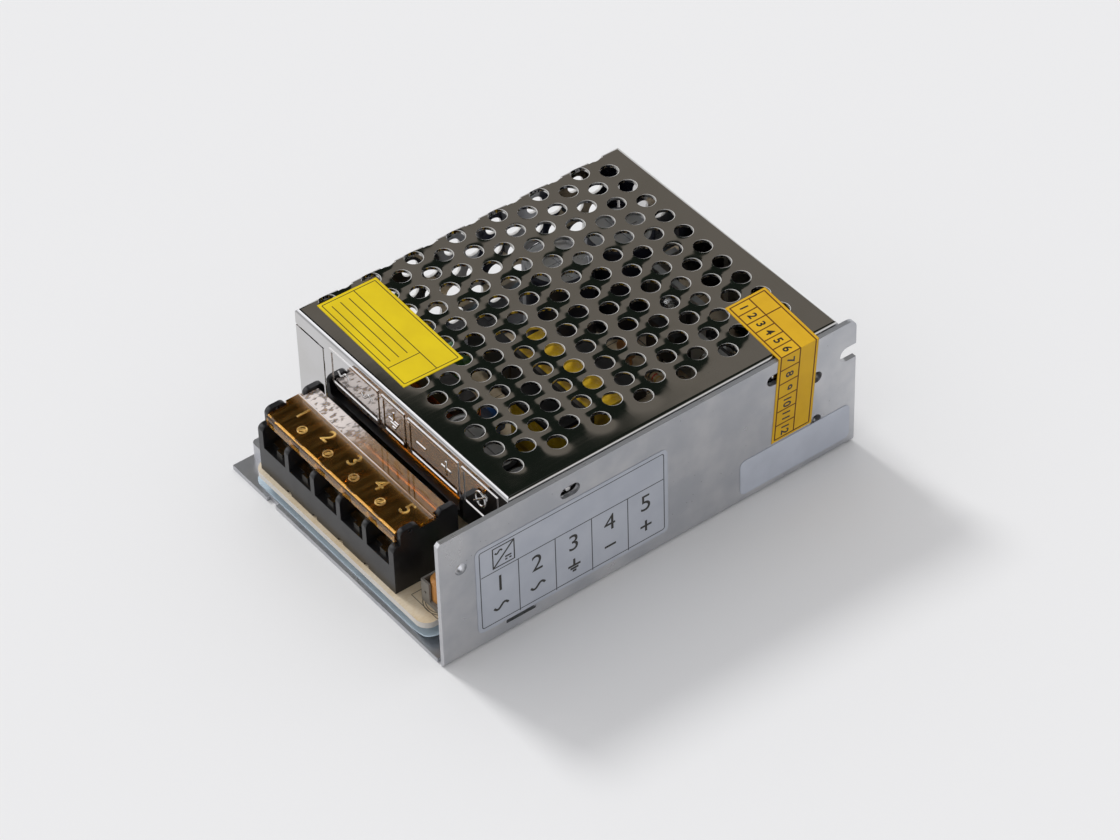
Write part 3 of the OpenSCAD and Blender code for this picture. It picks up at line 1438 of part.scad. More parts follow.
module dip_case(place, pins) {
    x = at_x(place[0]);
    y = at_y(place[1]);
    l = pins * pin_pitch - dip_leg_t;
    z = board_z + dip_lift;
    difference() {
        block(x - l / 2, x + l / 2, y - dip_w / 2, y + dip_w / 2, z, z + dip_h);
        post(x - l / 2, y, dip_mark_r, z + dip_h - dip_leg_t, z + dip_h + cut);
    }
    for (i = [0 : pins - 1], s = [-1, 1]) {
        px = x + (i - (pins - 1) / 2) * pin_pitch;
        leg_y = y + s * (dip_w / 2 + dip_leg_t);
        tip_y = y + s * (dip_w / 2 + dip_tip_out);
        block(px - dip_leg_w / 2, px + dip_leg_w / 2, leg_y - dip_leg_t, leg_y + dip_leg_t,
            z + dip_leg_z, z + dip_leg_z + dip_leg_t);
        block(px - dip_tip_w / 2, px + dip_tip_w / 2, tip_y - dip_tip_t / 2, tip_y + dip_tip_t / 2,
            board_z, z + dip_leg_z + dip_leg_t / 2);
    }
}

controller_place = [31.5, 76.5];
optocoupler_place = [43, 76.5];

module controller_chip() {
    color(black) dip_case(controller_place, 4);
}

module optocoupler() {
    color(black) dip_case(optocoupler_place, 2);
}

// Axial part lying on the board: waisted body, two wires bent down
axial_lift = 0.2;
axial_wire_r = 0.3;
axial_end = 0.8;
axial_edge = 0.3;
axial_bulge = 0.2;
axial_waist = 0.85;
axial_waist_at = 0.28;
axial_reach_std = 1.4;
axial_reach = plan * axial_reach_std;

module axial_part(p, r, l) {
    z = board_z + r + axial_lift;
    reach = l / 2 + axial_reach;
    end_r = r * axial_end;
    edge = r * axial_edge;
    bulge_l = l * axial_bulge;
    waist_r = r * axial_waist;
    waist_l = l * axial_waist_at;
    translate([at_x(p[0]), at_y(p[1]), 0]) rotate(p[2]) {
        translate([-l / 2, 0, z]) rotate([0, 90, 0]) rotate_extrude($fn = round_fn)
            polygon([[0, 0], [end_r, 0], [r, edge], [r, bulge_l], [waist_r, waist_l], [waist_r, l - waist_l],
                [r, l - bulge_l], [r, l - edge], [end_r, l], [0, l]]);
        rod_x(-reach, reach, 0, z, axial_wire_r, wire_fn);
        for (s = [-1, 1]) post(s * reach, 0, axial_wire_r, board_z, z + axial_wire_r, wire_fn);
    }
}

// Places of the small parts as shares, with their turn in degrees
resistor_places = [[22, 60, 0], [22, 64, 0], [33, 84.5, 0], [60.3, 52, 90],
    [60.3, 63, 90], [45, 70.9, 0]];
resistor_r_std = 1.2;
resistor_r = plan * resistor_r_std;
resistor_l_std = 6.2;
resistor_l = plan * resistor_l_std;

module resistors() {
    color("tan") for (p = resistor_places) axial_part(p, resistor_r, resistor_l);
}

ceramic_places = [[34, 37.6], [41, 37.6], [48, 37.6], [24, 84]];
ceramic_r_std = 2.8;
ceramic_r = plan * ceramic_r_std;
ceramic_t_std = 2.2;
ceramic_t = plan * ceramic_t_std;

module ceramic_capacitors() {
    color("orange") for (p = ceramic_places) disc_part(p, ceramic_r, ceramic_t, 0);
}

diode_places = [[34, 97.2, 0], [34, 102, 0], [49, 98, 0]];
diode_r_std = 1.8;
diode_r = plan * diode_r_std;
diode_l_std = 7.5;
diode_l = plan * diode_l_std;

module diodes() {
    color(black) for (p = diode_places) axial_part(p, diode_r, diode_l);
}

// Label on top of the cover, near the front left corner
notice_x0 = x_left + notice_side;
notice_y0 = cover_y0 + notice_front;

module notice_label() {
    color("gold") translate([notice_x0, notice_y0, case_h]) rotate(-notice_turn)
        cube([notice_l, notice_w, label_t]);
}

// Label that runs over the top edge and down the side wall, slanted in one line
seal_y = y_rear - seal_rear;
seal_reach = case_h + label_t - (type_z + type_h) * rise - seal_gap;

module seal_outline(reach) {
    slant = reach * tan(seal_turn);
    polygon([[0, 0], [seal_w / cos(seal_turn), 0], [seal_w / cos(seal_turn) + slant, reach],
        [slant, reach]]);
}

module seal_label() {
    color("orange") {
        translate([x_right + label_t, seal_y, case_h]) rotate([0, 0, 90])
            linear_extrude(label_t) seal_outline(seal_top);
        translate([x_right, seal_y, case_h + label_t]) mirror([0, 0, 1]) rotate([90, 0, 90])
            linear_extrude(label_t) mirror([1, 0]) translate([-seal_w / cos(seal_turn), 0])
            seal_outline(seal_reach);
    }
}

// Labels on the side wall, as a slab with round corners
module side_label(y0, l, z0, h) {
    color("lavender") across(x_right, x_right + label_t)
        translate([y0, z0]) round_rect(l, h, label_r);
}

module rating_label() {
    side_label(y_front + rating_front, rating_l, rating_z * rise, rating_h * rise);
}

module type_label() {
    side_label(y_rear - type_rear - type_l, type_l, type_z * rise, type_h * rise);
}

base_chassis();
mesh_cover();
cover_screws();
insulating_film();
board_standoffs();
board_screws();
circuit_board();
terminal_housing();
terminal_contacts();
terminal_lid();
clamp_washer(0);  // clamp_washer_1
clamp_washer(1);  // clamp_washer_2
clamp_washer(2);  // clamp_washer_3
clamp_washer(3);  // clamp_washer_4
clamp_washer(4);  // clamp_washer_5
terminal_screw(0);  // terminal_screw_1
terminal_screw(1);  // terminal_screw_2
terminal_screw(2);  // terminal_screw_3
terminal_screw(3);  // terminal_screw_4
terminal_screw(4);  // terminal_screw_5
adjuster_body();
adjuster_rotor();
indicator_lamp();
fuse_tube();
fuse_ends();
line_filter_capacitor();
choke_core();
choke_windings();
bypass_capacitors();
surge_thermistor();
bridge_rectifier();
input_capacitor(0);  // input_capacitor_1
input_capacitor(1);  // input_capacitor_2
transformer_core();
transformer_bobbin();
transformer_winding();
transformer_tape();
output_capacitor(0);  // output_capacitor_1
output_capacitor(1);  // output_capacitor_2
output_capacitor(2);  // output_capacitor_3
output_choke_core();
output_choke_coil();
primary_heatsink();
secondary_heatsink();
switching_transistor();
output_rectifier();
heatsink_screws();
heatsink_nuts();
controller_chip();
optocoupler();
auxiliary_capacitor();
resistors();
ceramic_capacitors();
diodes();
notice_label();
seal_label();
rating_label();
type_label();
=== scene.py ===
import logging
import math
from dataclasses import dataclass
from enum import Enum
from typing import Any, Callable, Mapping, Sequence, Union

import bpy
from mathutils import Matrix, Quaternion, Vector


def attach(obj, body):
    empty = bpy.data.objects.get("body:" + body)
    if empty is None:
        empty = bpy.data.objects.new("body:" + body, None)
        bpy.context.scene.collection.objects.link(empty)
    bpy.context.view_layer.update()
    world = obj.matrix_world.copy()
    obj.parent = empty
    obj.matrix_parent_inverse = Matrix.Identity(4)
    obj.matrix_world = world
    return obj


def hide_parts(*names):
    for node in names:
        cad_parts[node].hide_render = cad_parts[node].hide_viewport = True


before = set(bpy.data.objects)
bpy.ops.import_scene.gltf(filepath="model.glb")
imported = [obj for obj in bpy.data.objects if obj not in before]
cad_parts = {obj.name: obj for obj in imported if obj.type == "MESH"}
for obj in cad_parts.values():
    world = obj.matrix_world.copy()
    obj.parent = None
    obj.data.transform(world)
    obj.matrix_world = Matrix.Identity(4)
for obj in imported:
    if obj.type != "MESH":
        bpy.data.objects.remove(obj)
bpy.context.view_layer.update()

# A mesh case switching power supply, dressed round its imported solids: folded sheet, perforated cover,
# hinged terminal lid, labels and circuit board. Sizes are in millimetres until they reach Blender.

LOG = logging.getLogger("power_supply")
MM = 0.001

Colour = tuple[float, float, float, float]
Point = tuple[float, float, float]
Flat = tuple[float, float]
Line = Sequence[Flat]
Values = Mapping[Any, Any]
Piece = bpy.types.Object
Socket = bpy.types.NodeSocket


def ink(red: int, green: int, blue: int) -> Colour:
    """A colour of 0 to 255 screen values, as the linear values that shaders take, with full opacity."""
    shares = [value / 255 for value in (red, green, blue)]
    return (*(s / 12.92 if s <= 0.04045 else ((s + 0.055) / 1.055) ** 2.4 for s in shares), 1.0)


def shade(colour: Colour, share: float) -> Colour:
    """A colour made darker or lighter, with full opacity."""
    return (*(part * share for part in colour[:3]), 1.0)


def heading(azimuth: float, elevation: float) -> Point:
    """A unit direction, from degrees round from +X towards +Y and degrees above the floor."""
    a, e = math.radians(azimuth), math.radians(elevation)
    return (math.cos(e) * math.cos(a), math.cos(e) * math.sin(a), math.sin(e))


class Body(Enum):
    """The rigid bodies that new pieces ride on."""

    CHASSIS = "chassis"
    LID = "lid"


class Facing(Enum):
    """The side of the case that a sign is read from, as its reading, upward and outward directions."""

    TOP = ((1, 0, 0), (0, 1, 0), (0, 0, 1))
    FRONT = ((1, 0, 0), (0, 0, 1), (0, -1, 0))
    RIGHT = ((0, 1, 0), (0, 0, 1), (1, 0, 0))
    FOLDED = ((0, 0, -1), (0, 1, 0), (1, 0, 0))


# Shader maths


Operand = Union[float, int, "Signal"]


def operator(operation: str, reflected: bool = False) -> Callable[["Signal", Operand], "Signal"]:
    """Makes one of Signal's operators, or its reflected form, of a Math node's operation.

    Args:
        operation: The node's operation.
        reflected: Whether the other operand comes first.

    Returns:
        The operator.
    """
    def apply(signal: "Signal", other: Operand) -> "Signal":
        """Adds the operator's Math node."""
        return signal.tree.math(operation, *((other, signal) if reflected else (signal, other)))

    return apply


@dataclass(frozen=True)
class Signal:
    """A number that varies over a surface, on its way through a material's nodes."""

    tree: "Tree"
    socket: Socket

    __add__ = __radd__ = operator("ADD")
    __mul__ = __rmul__ = operator("MULTIPLY")
    __sub__, __rsub__ = operator("SUBTRACT"), operator("SUBTRACT", reflected=True)
    __truediv__, __rtruediv__ = operator("DIVIDE"), operator("DIVIDE", reflected=True)
    __gt__, __lt__ = operator("GREATER_THAN"), operator("LESS_THAN")
    least, most = operator("MINIMUM"), operator("MAXIMUM")

    def math(self, operation: str, *others: Operand) -> "Signal":
        """Adds one Math node, with this as its first operand."""
        return self.tree.math(operation, self, *others)

    def __abs__(self) -> "Signal":
        """Absolute value."""
        return self.math("ABSOLUTE")

    def slope(self, other: "Signal") -> "Signal":
        """The length of a slope whose two legs are this and the other."""
        return (self * self + other * other).math("SQRT")

    def wrapped(self, half: float) -> "Signal":
        """Repeats every two halves, running from minus half to half."""
        return self.math("WRAP", half, -half)

    def ramp(self, start: float, end: float, low: float = 0.0, high: float = 1.0) -> "Signal":
        """Goes smoothly from a low level, up to the start value, to a high level from the end value on."""
        levels = {"Value": self, "From Min": start, "From Max": end, "To Min": low, "To Max": high}
        return self.tree.number("ShaderNodeMapRange", {"interpolation_type": "SMOOTHSTEP"}, levels)

    def fade(self, start: float, end: float) -> "Signal":
        """Falls smoothly from 1, up to the start value, to 0 from the end value on."""
        return self.ramp(start, end, 1.0, 0.0)

    def spread(self) -> "Signal":
        """Draws a noise's usual 0.3 to 0.7 out to 0 to 1."""
        return self.ramp(0.3, 0.7)

    def line(self, centre: float, width: float, soft: float = 0.02) -> "Signal":
        """1 in a stripe of this full width round a centre, and 0 outside. Each edge fades by soft."""
        return abs(self - centre).fade(width / 2 - soft, width / 2 + soft)

    def from_nearest(self, start: float, pitch: float, count: int) -> "Signal":
        """Distance from the nearest of a row of evenly spaced places.

        Args:
            start: The first place.
            pitch: The spacing.
            count: How many places there are.

        Returns:
            The signed distance.
        """
        from_start = self - start
        index = (from_start / pitch).math("ROUND").most(0.0).least(count - 1.0)
        return from_start - index * pitch

    def from_frame(self, up: "Signal", half: Flat, radius: float) -> "Signal":
        """Distance from a rectangle with rounded corners. This is the distance across from its middle.

        Args:
            up: Distance upward from its middle.
            half: Half its width and half its height.
            radius: Its corner radius.

        Returns:
            The distance, negative inside.
        """
        past_side, past_top = abs(self) - (half[0] - radius), abs(up) - (half[1] - radius)
        outside = past_side.most(0.0).slope(past_top.most(0.0))
        return outside + past_side.most(past_top).least(0.0) - radius


@dataclass(frozen=True)
class Spot:
    """A place on the surface, in millimetres in the shared frame."""

    tree: "Tree"
    socket: Socket

    def vector(self, operation: str, other: Point) -> bpy.types.bpy_prop_collection:
        """Adds one Vector Math node and gives its outputs."""
        return self.tree.add("ShaderNodeVectorMath", {"operation": operation}, {0: self, 1: other}).outputs

    def __sub__(self, other: Point) -> "Spot":
        """The place seen from another."""
        return Spot(self.tree, self.vector("SUBTRACT", other)["Vector"])

    def __mul__(self, other: Point) -> "Spot":
        """The place stretched along the axes."""
        return Spot(self.tree, self.vector("MULTIPLY", other)["Vector"])

    def dot(self, other: Point) -> Signal:
        """Distance along a direction."""
        return Signal(self.tree, self.vector("DOT_PRODUCT", other)["Value"])

    def axes(self) -> tuple[Signal, Signal, Signal]:
        """Distances across the case, along it and up."""
        return self.dot((1, 0, 0)), self.dot((0, 1, 0)), self.dot((0, 0, 1))

    def noise(self, size: float, detail: float = 2.0, stretch: Point = (1, 1, 1)) -> Signal:
        """Cloudy variation about 0.5, from a cloud's size, its finer layers and its stretch by axis."""
        shrunk = self * tuple(1 / (size * axis) for axis in stretch)
        return self.tree.number("ShaderNodeTexNoise", {}, {"Vector": shrunk, "Scale": 1.0, "Detail": detail})

    def grains(self, spacing: float) -> Signal:
        """Distance from the nearest of many scattered grains, as a share of their spacing."""
        shrunk = self * (1 / spacing, 1 / spacing, 1 / spacing)
        return self.tree.number("ShaderNodeTexVoronoi", {}, {"Vector": shrunk, "Scale": 1.0})


@dataclass(frozen=True)
class Hue:
    """A colour that varies over a surface."""

    tree: "Tree"
    socket: Socket

    def towards(self, share: Operand, other: Union["Hue", Colour]) -> "Hue":
        """Blends this colour with a share of another."""
        return self.tree.hue(share, self, other)


class Tree:
    """The nodes of one material or of the room."""

    def __init__(self, block: Union[bpy.types.Material, bpy.types.World]) -> None:
        """Starts with no nodes.

        Args:
            block: The material or world.
        """
        block.use_nodes = True
        self.nodes = block.node_tree.nodes
        self.links = block.node_tree.links
        self.nodes.clear()

    def add(self, kind: str, settings: Values, values: Values) -> bpy.types.Node:
        """Makes any node: its settings first, then the values or links of its sockets.

        Args:
            kind: The node's type.
            settings: Its properties.
            values: Plain values, or signals, spots, hues and sockets to link, by socket.

        Returns:
            The node.
        """
        node = self.nodes.new(kind)
        for key, value in settings.items():
            setattr(node, key, value)
        for key, value in values.items():
            source = getattr(value, "socket", value)
            if isinstance(source, Socket):
                self.links.new(source, node.inputs[key])
            else:
                node.inputs[key].default_value = value
        return node

    def number(self, kind: str, settings: Values, values: Values) -> Signal:
        """Makes a node whose first output is a number."""
        return Signal(self, self.add(kind, settings, values).outputs[0])

    def math(self, operation: str, *operands: Operand) -> Signal:
        """Makes one Math node."""
        return self.number("ShaderNodeMath", {"operation": operation}, dict(enumerate(operands)))

    def hue(self, share: Operand, first: Union[Hue, Colour], second: Union[Hue, Colour]) -> Hue:
        """Blends one colour with a share of another."""
        blend = self.add("ShaderNodeMix", {"data_type": "RGBA"}, {0: share, 6: first, 7: second})
        return Hue(self, blend.outputs[2])

    def place(self) -> Spot:
        """The surface's own place, in millimetres."""
        return Spot(self, self.add("ShaderNodeTexCoord", {}, {}).outputs["Object"]) * (1 / MM, 1 / MM, 1 / MM)

    def relief(self, height: Signal) -> Socket:
        """Turns a height in millimetres into a surface direction."""
        return self.add("ShaderNodeBump", {}, {"Height": height, "Strength": 1.0, "Distance": MM}).outputs[0]

    def shader(self, values: Values) -> Socket:
        """Makes a Principled shader."""
        return self.add("ShaderNodeBsdfPrincipled", {}, values).outputs[0]

    def show(self, shader: Socket) -> None:
        """Makes a material's output, which shows a shader."""
        self.add("ShaderNodeOutputMaterial", {}, {"Surface": shader})

    def surface(self, tone: Hue, gloss: Signal, height: Signal, others: Values) -> None:
        """Makes a material's shader and output, from its colour, roughness, height and other sockets."""
        values = {"Base Color": tone, "Roughness": gloss, "Normal": self.relief(height), **others}
        self.show(self.shader(values))


# Finishes


@dataclass(frozen=True)
class Finish:
    """A finish by name."""

    name: str

    def dress(self) -> None:
        """Builds the material's nodes."""
        raise NotImplementedError

    def start(self) -> tuple[Tree, Spot]:
        """Makes the material and gives its empty tree and the surface's place."""
        tree = Tree(bpy.data.materials.new(self.name))
        return tree, tree.place()

    def material(self) -> bpy.types.Material:
        """Builds the material once and gives it each time.

        Returns:
            The material.
        """
        if self.name not in bpy.data.materials:
            self.dress()
        return bpy.data.materials[self.name]


@dataclass(frozen=True)
class PunchedPlate(Finish):
    """Bright plated sheet. The vents were punched two rows at a stroke, which left every other row's rims
    a little proud and the rows between a little sunk, so that the webs tilt and reflect in turn.

    row_sets gives the proud and the sunk rows: the first hole's place across and along, and a row's holes.
    """

    tone: Colour = ink(207, 206, 206)
    worn_tone: Colour = ink(196, 194, 190)
    gloss: float = 0.035
    right_edge: float = 37.4
    top: float = 36.0
    sheet: float = 0.8
    pitch: float = 6.633
    double_row: float = 11.384
    double_rows: int = 7
    row_sets: tuple[tuple[float, float, int], ...] = ((10.9165, -23.656, 14), (7.6, -29.348, 15))
    hole_radius: float = 2.15
    rim_height: float = 0.052
    rim_reach: float = 0.95
    calm_way: Point = (-0.81, 0.585, 0.0)
    calm: Flat = (12.0, 40.0)
    calm_share: float = 0.4
    front_calm: Flat = (-31.5, -25.5)
    front_share: float = 0.12
    # The rims' cut edge: paler and less metallic than the sheet, and set a little off centre towards the
    # back. It is partly the real cut edge and partly a painted highlight.
    shear_and_highlight_tone: Colour = ink(220, 219, 216)
    shear_and_highlight_width: float = 0.03
    highlight_shift: Flat = (-0.045, 0.07)
    # Painted shade along the front fold: a darker grey that dims its reflection.
    bend_shade: Flat = (-36.6, 36.0)
    bend_shade_reach: Flat = (0.5, 0.95)
    bend_shade_share: float = 0.65
    bend_shade_tone: Colour = ink(120, 121, 124)

    def dress(self) -> None:
        """Tilted webs, cut rims that also carry a painted highlight, painted shade along the front fold, a
        rolled grain, smudges and specks.
        """
        tree, where = self.start()
        x, y, z = where.axes()
        along = self.right_edge + self.top - x - z
        proud, sunk = self.from_rims(along, y)
        lift = where.dot(self.calm_way).ramp(*self.calm, self.rim_height, self.rim_height * self.calm_share)
        lift = lift * y.ramp(*self.front_calm, self.front_share, 1.0)
        waves = where.noise(24.0, 1.0) * 0.05 + where.noise(3.0, 1.0, (1, 4, 1)) * 0.0012
        height = (self.swell(proud) - self.swell(sunk)) * lift + waves
        rolled = where.noise(0.5, 2.0, (1, 60, 1))
        smudge = where.noise(9.0, 4.0)
        specks = where.grains(1.7).fade(0.02, 0.06) * (where.noise(5.0) > 0.55)
        # Rims measured from shifted centres: the paler ring is the real cut edge and also a painted
        # highlight, placed on the holes' back sides.
        proud, sunk = self.from_rims(along - self.highlight_shift[0], y - self.highlight_shift[1])
        outside = (z > self.top - self.sheet + 0.05) + (x < -self.right_edge - 0.85)
        shear_and_highlight = proud.least(sunk).fade(self.shear_and_highlight_width, self.shear_and_highlight_width + 0.04) * outside.least(1.0)
        # Painted shade along the front fold, dimming its reflection.
        bend_shade = (y - self.bend_shade[0]).slope(z - self.bend_shade[1]).ramp(*self.bend_shade_reach, self.bend_shade_share, 0.0)
        gloss = self.gloss + rolled.ramp(0.45, 0.7) * 0.012 + smudge.ramp(0.5, 0.8) * 0.03 + specks * 0.2
        tone = tree.hue(smudge.ramp(0.35, 0.75) * 0.4, self.tone, self.worn_tone)
        tone = tone.towards(bend_shade, self.bend_shade_tone).towards(shear_and_highlight, self.shear_and_highlight_tone)
        tree.surface(tone, gloss + shear_and_highlight * 0.35, height, {"Metallic": 1 - shear_and_highlight * 0.75})

    def swell(self, from_rim: Signal) -> Signal:
        """How much of a rim's lift is left at a distance from it."""
        return (from_rim.most(0.0) * (-1 / self.rim_reach)).math("EXPONENT")

    def from_rims(self, across: Signal, rows: Signal) -> list[Signal]:
        """Distances from the nearest rim of the proud rows, and of the sunk rows.

        Args:
            across: Distance round the sheet from its right edge.
            rows: Distance along the case.

        Returns:
            The two distances, negative inside a hole.
        """
        distances = []
        for first, row, count in self.row_sets:
            from_column = across.from_nearest(first, self.pitch, count)
            from_row = rows.from_nearest(row, self.double_row, self.double_rows)
            distances.append(from_column.slope(from_row) - self.hole_radius)
        return distances


@dataclass(frozen=True)
class RolledMetal(Finish):
    """Plain or plated metal with a rolled grain, mottling and handling marks."""

    tone: Colour
    dull_tone: Colour
    gloss: float
    grain: Point
    mottle: float
    grain_depth: float = 0.002
    marks: float = 1.0
    metal: float = 1.0
    pit_tone: Colour = ink(90, 90, 92)

    def dress(self) -> None:
        """Mottled tones, a rolled grain, dull pits and fine scuffs."""
        tree, where = self.start()
        rolled = where.noise(0.3, 3.0, self.grain)
        cloud = where.noise(self.mottle, 4.0)
        pits = where.grains(2.3).fade(0.03, 0.08) * (cloud > 0.52)
        scuffs = where.noise(0.5, 2.0, (1, 8, 8)).ramp(0.66, 0.7) * (where.noise(12.0) > 0.5)
        tone = tree.hue(cloud.spread(), self.tone, self.dull_tone).towards(pits * 0.5, self.pit_tone)
        gloss = self.gloss + cloud.ramp(0.3, 0.75) * 0.08 + rolled.ramp(0.4, 0.7) * 0.06 + pits * 0.2
        height = rolled * self.grain_depth + scuffs * (0.003 * self.marks)
        tree.surface(tone, gloss - scuffs * 0.05, height, {"Metallic": self.metal})


@dataclass(frozen=True)
class Moulding(Finish):
    """Moulded plastic, ceramic or epoxy with a fine skin."""

    tone: Colour
    pale_tone: Colour
    gloss: float = 0.35
    skin: float = 0.35
    skin_depth: float = 0.004
    coat: float = 0.0

    def dress(self) -> None:
        """Cloudy tones, a little dust and a fine skin."""
        tree, where = self.start()
        cloud = where.noise(6.0, 3.0)
        fine = where.noise(self.skin)
        dust = where.grains(1.3).fade(0.03, 0.09) * (where.noise(3.0) > 0.56)
        tone = tree.hue(cloud.ramp(0.3, 0.75) * 0.6 + dust * 0.5, self.tone, self.pale_tone)
        gloss = self.gloss + cloud.ramp(0.35, 0.7) * 0.08 + dust * 0.2
        tree.surface(tone, gloss, fine * self.skin_depth, {"Coat Weight": self.coat})


@dataclass(frozen=True)
class ClearMoulding(Finish):
    """Tinted clear plastic or glass with flow lines, a little hazy, and with crinkles behind a moulded step,
    whose hazy shader is whitened there as a painted highlight.

    step is where the crinkles start, along the case. The step's line is a painted highlight and the lighter
    band before it a painted reflection; their levels go from their first value, on the left, to their second.
    The step's default lies beyond the part.
    """

    tone: Colour
    haze_tone: Colour
    haze: float = 0.05
    gloss: float = 0.03
    flow: Point = (1, 14, 1)
    flow_depth: float = 0.006
    index: float = 1.5
    step: float = 1000.0
    # The crinkles, whose hazy shader is whitened as a painted highlight, the step's line as a painted
    # highlight, and the lighter band before it as a painted reflection.
    crinkles_and_highlight: Flat = (-18.0, -4.0)
    crinkle_depth: float = 0.08
    crinkle_highlight_tone: Colour = ink(232, 232, 236)
    step_highlight_width: float = 0.24
    step_highlight_levels: Flat = (0.9, 0.35)
    reflection_band_reach: float = 3.0
    reflection_band_levels: Flat = (0.16, 0.05)

    def dress(self) -> None:
        """A clear and a hazy shader, mixed by flow lines, wear and crinkles, with painted highlight on the
        crinkles and the step's line, and painted reflection before the step.
        """
        tree, where = self.start()
        flow = where.noise(0.9, 2.0, self.flow)
        wear = where.noise(0.35, 2.0, (1, 22, 1)).ramp(0.6, 0.7) * where.noise(6.0).ramp(0.45, 0.6)
        cloud = where.noise(5.0, 3.0)
        crinkle = where.noise(0.9, 1.0, (1, 1.6, 1))
        x, y, _ = where.axes()
        # Crinkles behind the step, fading out to the right: real bumps, whitened as a painted highlight.
        crinkles_and_highlight = y.ramp(self.step, self.step + 0.3) * x.ramp(*self.crinkles_and_highlight, 1.0, 0.02)
        # The step's line: a painted highlight.
        step = y.line(self.step, self.step_highlight_width, 0.06) * x.ramp(-6.0, 14.0, *self.step_highlight_levels)
        # A lighter band before the step: a painted reflection.
        worn = y.ramp(self.step - self.reflection_band_reach, self.step) * x.ramp(-22.0, 10.0, *self.reflection_band_levels)
        tone = tree.hue(cloud.spread() * 0.5, self.tone, shade(self.tone, 0.9))
        # The white share of the hazy shader: painted highlight and painted reflection.
        pale = (crinkles_and_highlight + step + worn * 3.0).least(1.0) * 0.8
        gloss = self.gloss + wear * 0.08 + cloud.ramp(0.5, 0.8) * 0.03
        relief = tree.relief(flow * self.flow_depth + crinkle * crinkles_and_highlight * self.crinkle_depth)
        clear = tree.shader({"Base Color": tone, "Roughness": gloss, "IOR": self.index,
                             "Transmission Weight": 1.0, "Normal": relief})
        hazy = tree.shader({"Base Color": tree.hue(pale, self.haze_tone, self.crinkle_highlight_tone),
                            "Roughness": gloss + 0.12, "Coat Weight": 0.3, "Normal": relief})
        streaks = flow.ramp(0.4, 0.7) * 0.7 + wear * 0.5 + 0.4
        share = streaks * self.haze + crinkles_and_highlight * crinkle.ramp(0.34, 0.56) * 0.85 + step + worn
        both = tree.add("ShaderNodeMixShader", {}, {0: share.least(1.0), 1: clear, 2: hazy})
        tree.show(both.outputs[0])


@dataclass(frozen=True)
class Wound(Finish):
    """Turns of lacquered wire, or layers of tape, laid along one axis."""

    tone: Colour
    # dark_tone is the painted shade between turns, and a little cloudy mottling.
    dark_tone: Colour
    pitch: float
    axis: Point
    depth: float
    metal: float
    gloss: float

    def dress(self) -> None:
        """Rounded turns, with painted shade in the hollows between them."""
        tree, where = self.start()
        cloud = where.noise(1.4, 3.0)
        turns = (where.dot(self.axis) * (2 * math.pi / self.pitch) + cloud * 1.2).math("SINE")
        groove_shade = turns.fade(-1.0, -0.2)
        tone = tree.hue(groove_shade * 0.8 + cloud.ramp(0.45, 0.7) * 0.2, self.tone, self.dark_tone)
        gloss = self.gloss + cloud.ramp(0.4, 0.7) * 0.12 + groove_shade * 0.15
        tree.surface(tone, gloss, turns * self.depth, {"Metallic": self.metal})


@dataclass(frozen=True)
class SleevedCan(Finish):
    """An aluminium can in a printed shrink sleeve, its scored top left bare."""

    centre: Flat
    radius: float
    top: float
    sleeve: Colour
    stripe: Colour = ink(170, 172, 176)
    bare_tone: Colour = ink(205, 207, 210)
    score_shade_tone: Colour = ink(90, 92, 96)

    def dress(self) -> None:
        """A cloudy sleeve with its stripe, and a turned and scored bare top, with painted shade in the
        scores.
        """
        tree, place = self.start()
        where = place - (*self.centre, 0.0)
        x, y, z = where.axes()
        out = x.slope(y)
        bare = (out < self.radius - 0.75) * (z > self.top - 0.8)
        score = abs(x).least(abs(y)).fade(0.08, 0.22) * (out < self.radius * 0.62) * bare
        band = (x * -0.7 + y * -0.7).ramp(self.radius * 0.80, self.radius * 0.84)
        cloud = where.noise(2.5, 3.0)
        turned = (out * 14.0).math("SINE")
        tone = tree.hue(cloud.spread() * 0.5, self.sleeve, shade(self.sleeve, 1.6)).towards(band, self.stripe)
        # The scores are darkened as painted shade.
        tone = tone.towards(bare, self.bare_tone).towards(score * 0.6, self.score_shade_tone)
        gloss = 0.34 + cloud * 0.1 - bare * 0.1
        tree.surface(tone, gloss, turned * bare * 0.002 - score * 0.15, {"Metallic": bare})


@dataclass(frozen=True)
class Banded(Finish):
    """A small lacquered part with coloured bands across it."""

    tone: Colour
    bands: tuple[Colour, ...]
    axis: Point
    first: float
    width: float
    pitch: float = 1.1

    def dress(self) -> None:
        """A cloudy body and its bands."""
        tree, where = self.start()
        along = where.dot(self.axis) - self.first
        cloud = where.noise(1.2, 3.0)
        tone = tree.hue(cloud.spread() * 0.4, self.tone, shade(self.tone, 0.7))
        for index, band in enumerate(self.bands):
            tone = tone.towards(along.line(index * self.pitch, self.width, 0.05), band)
        tree.surface(tone, 0.3 + cloud * 0.1, cloud * 0.05, {})


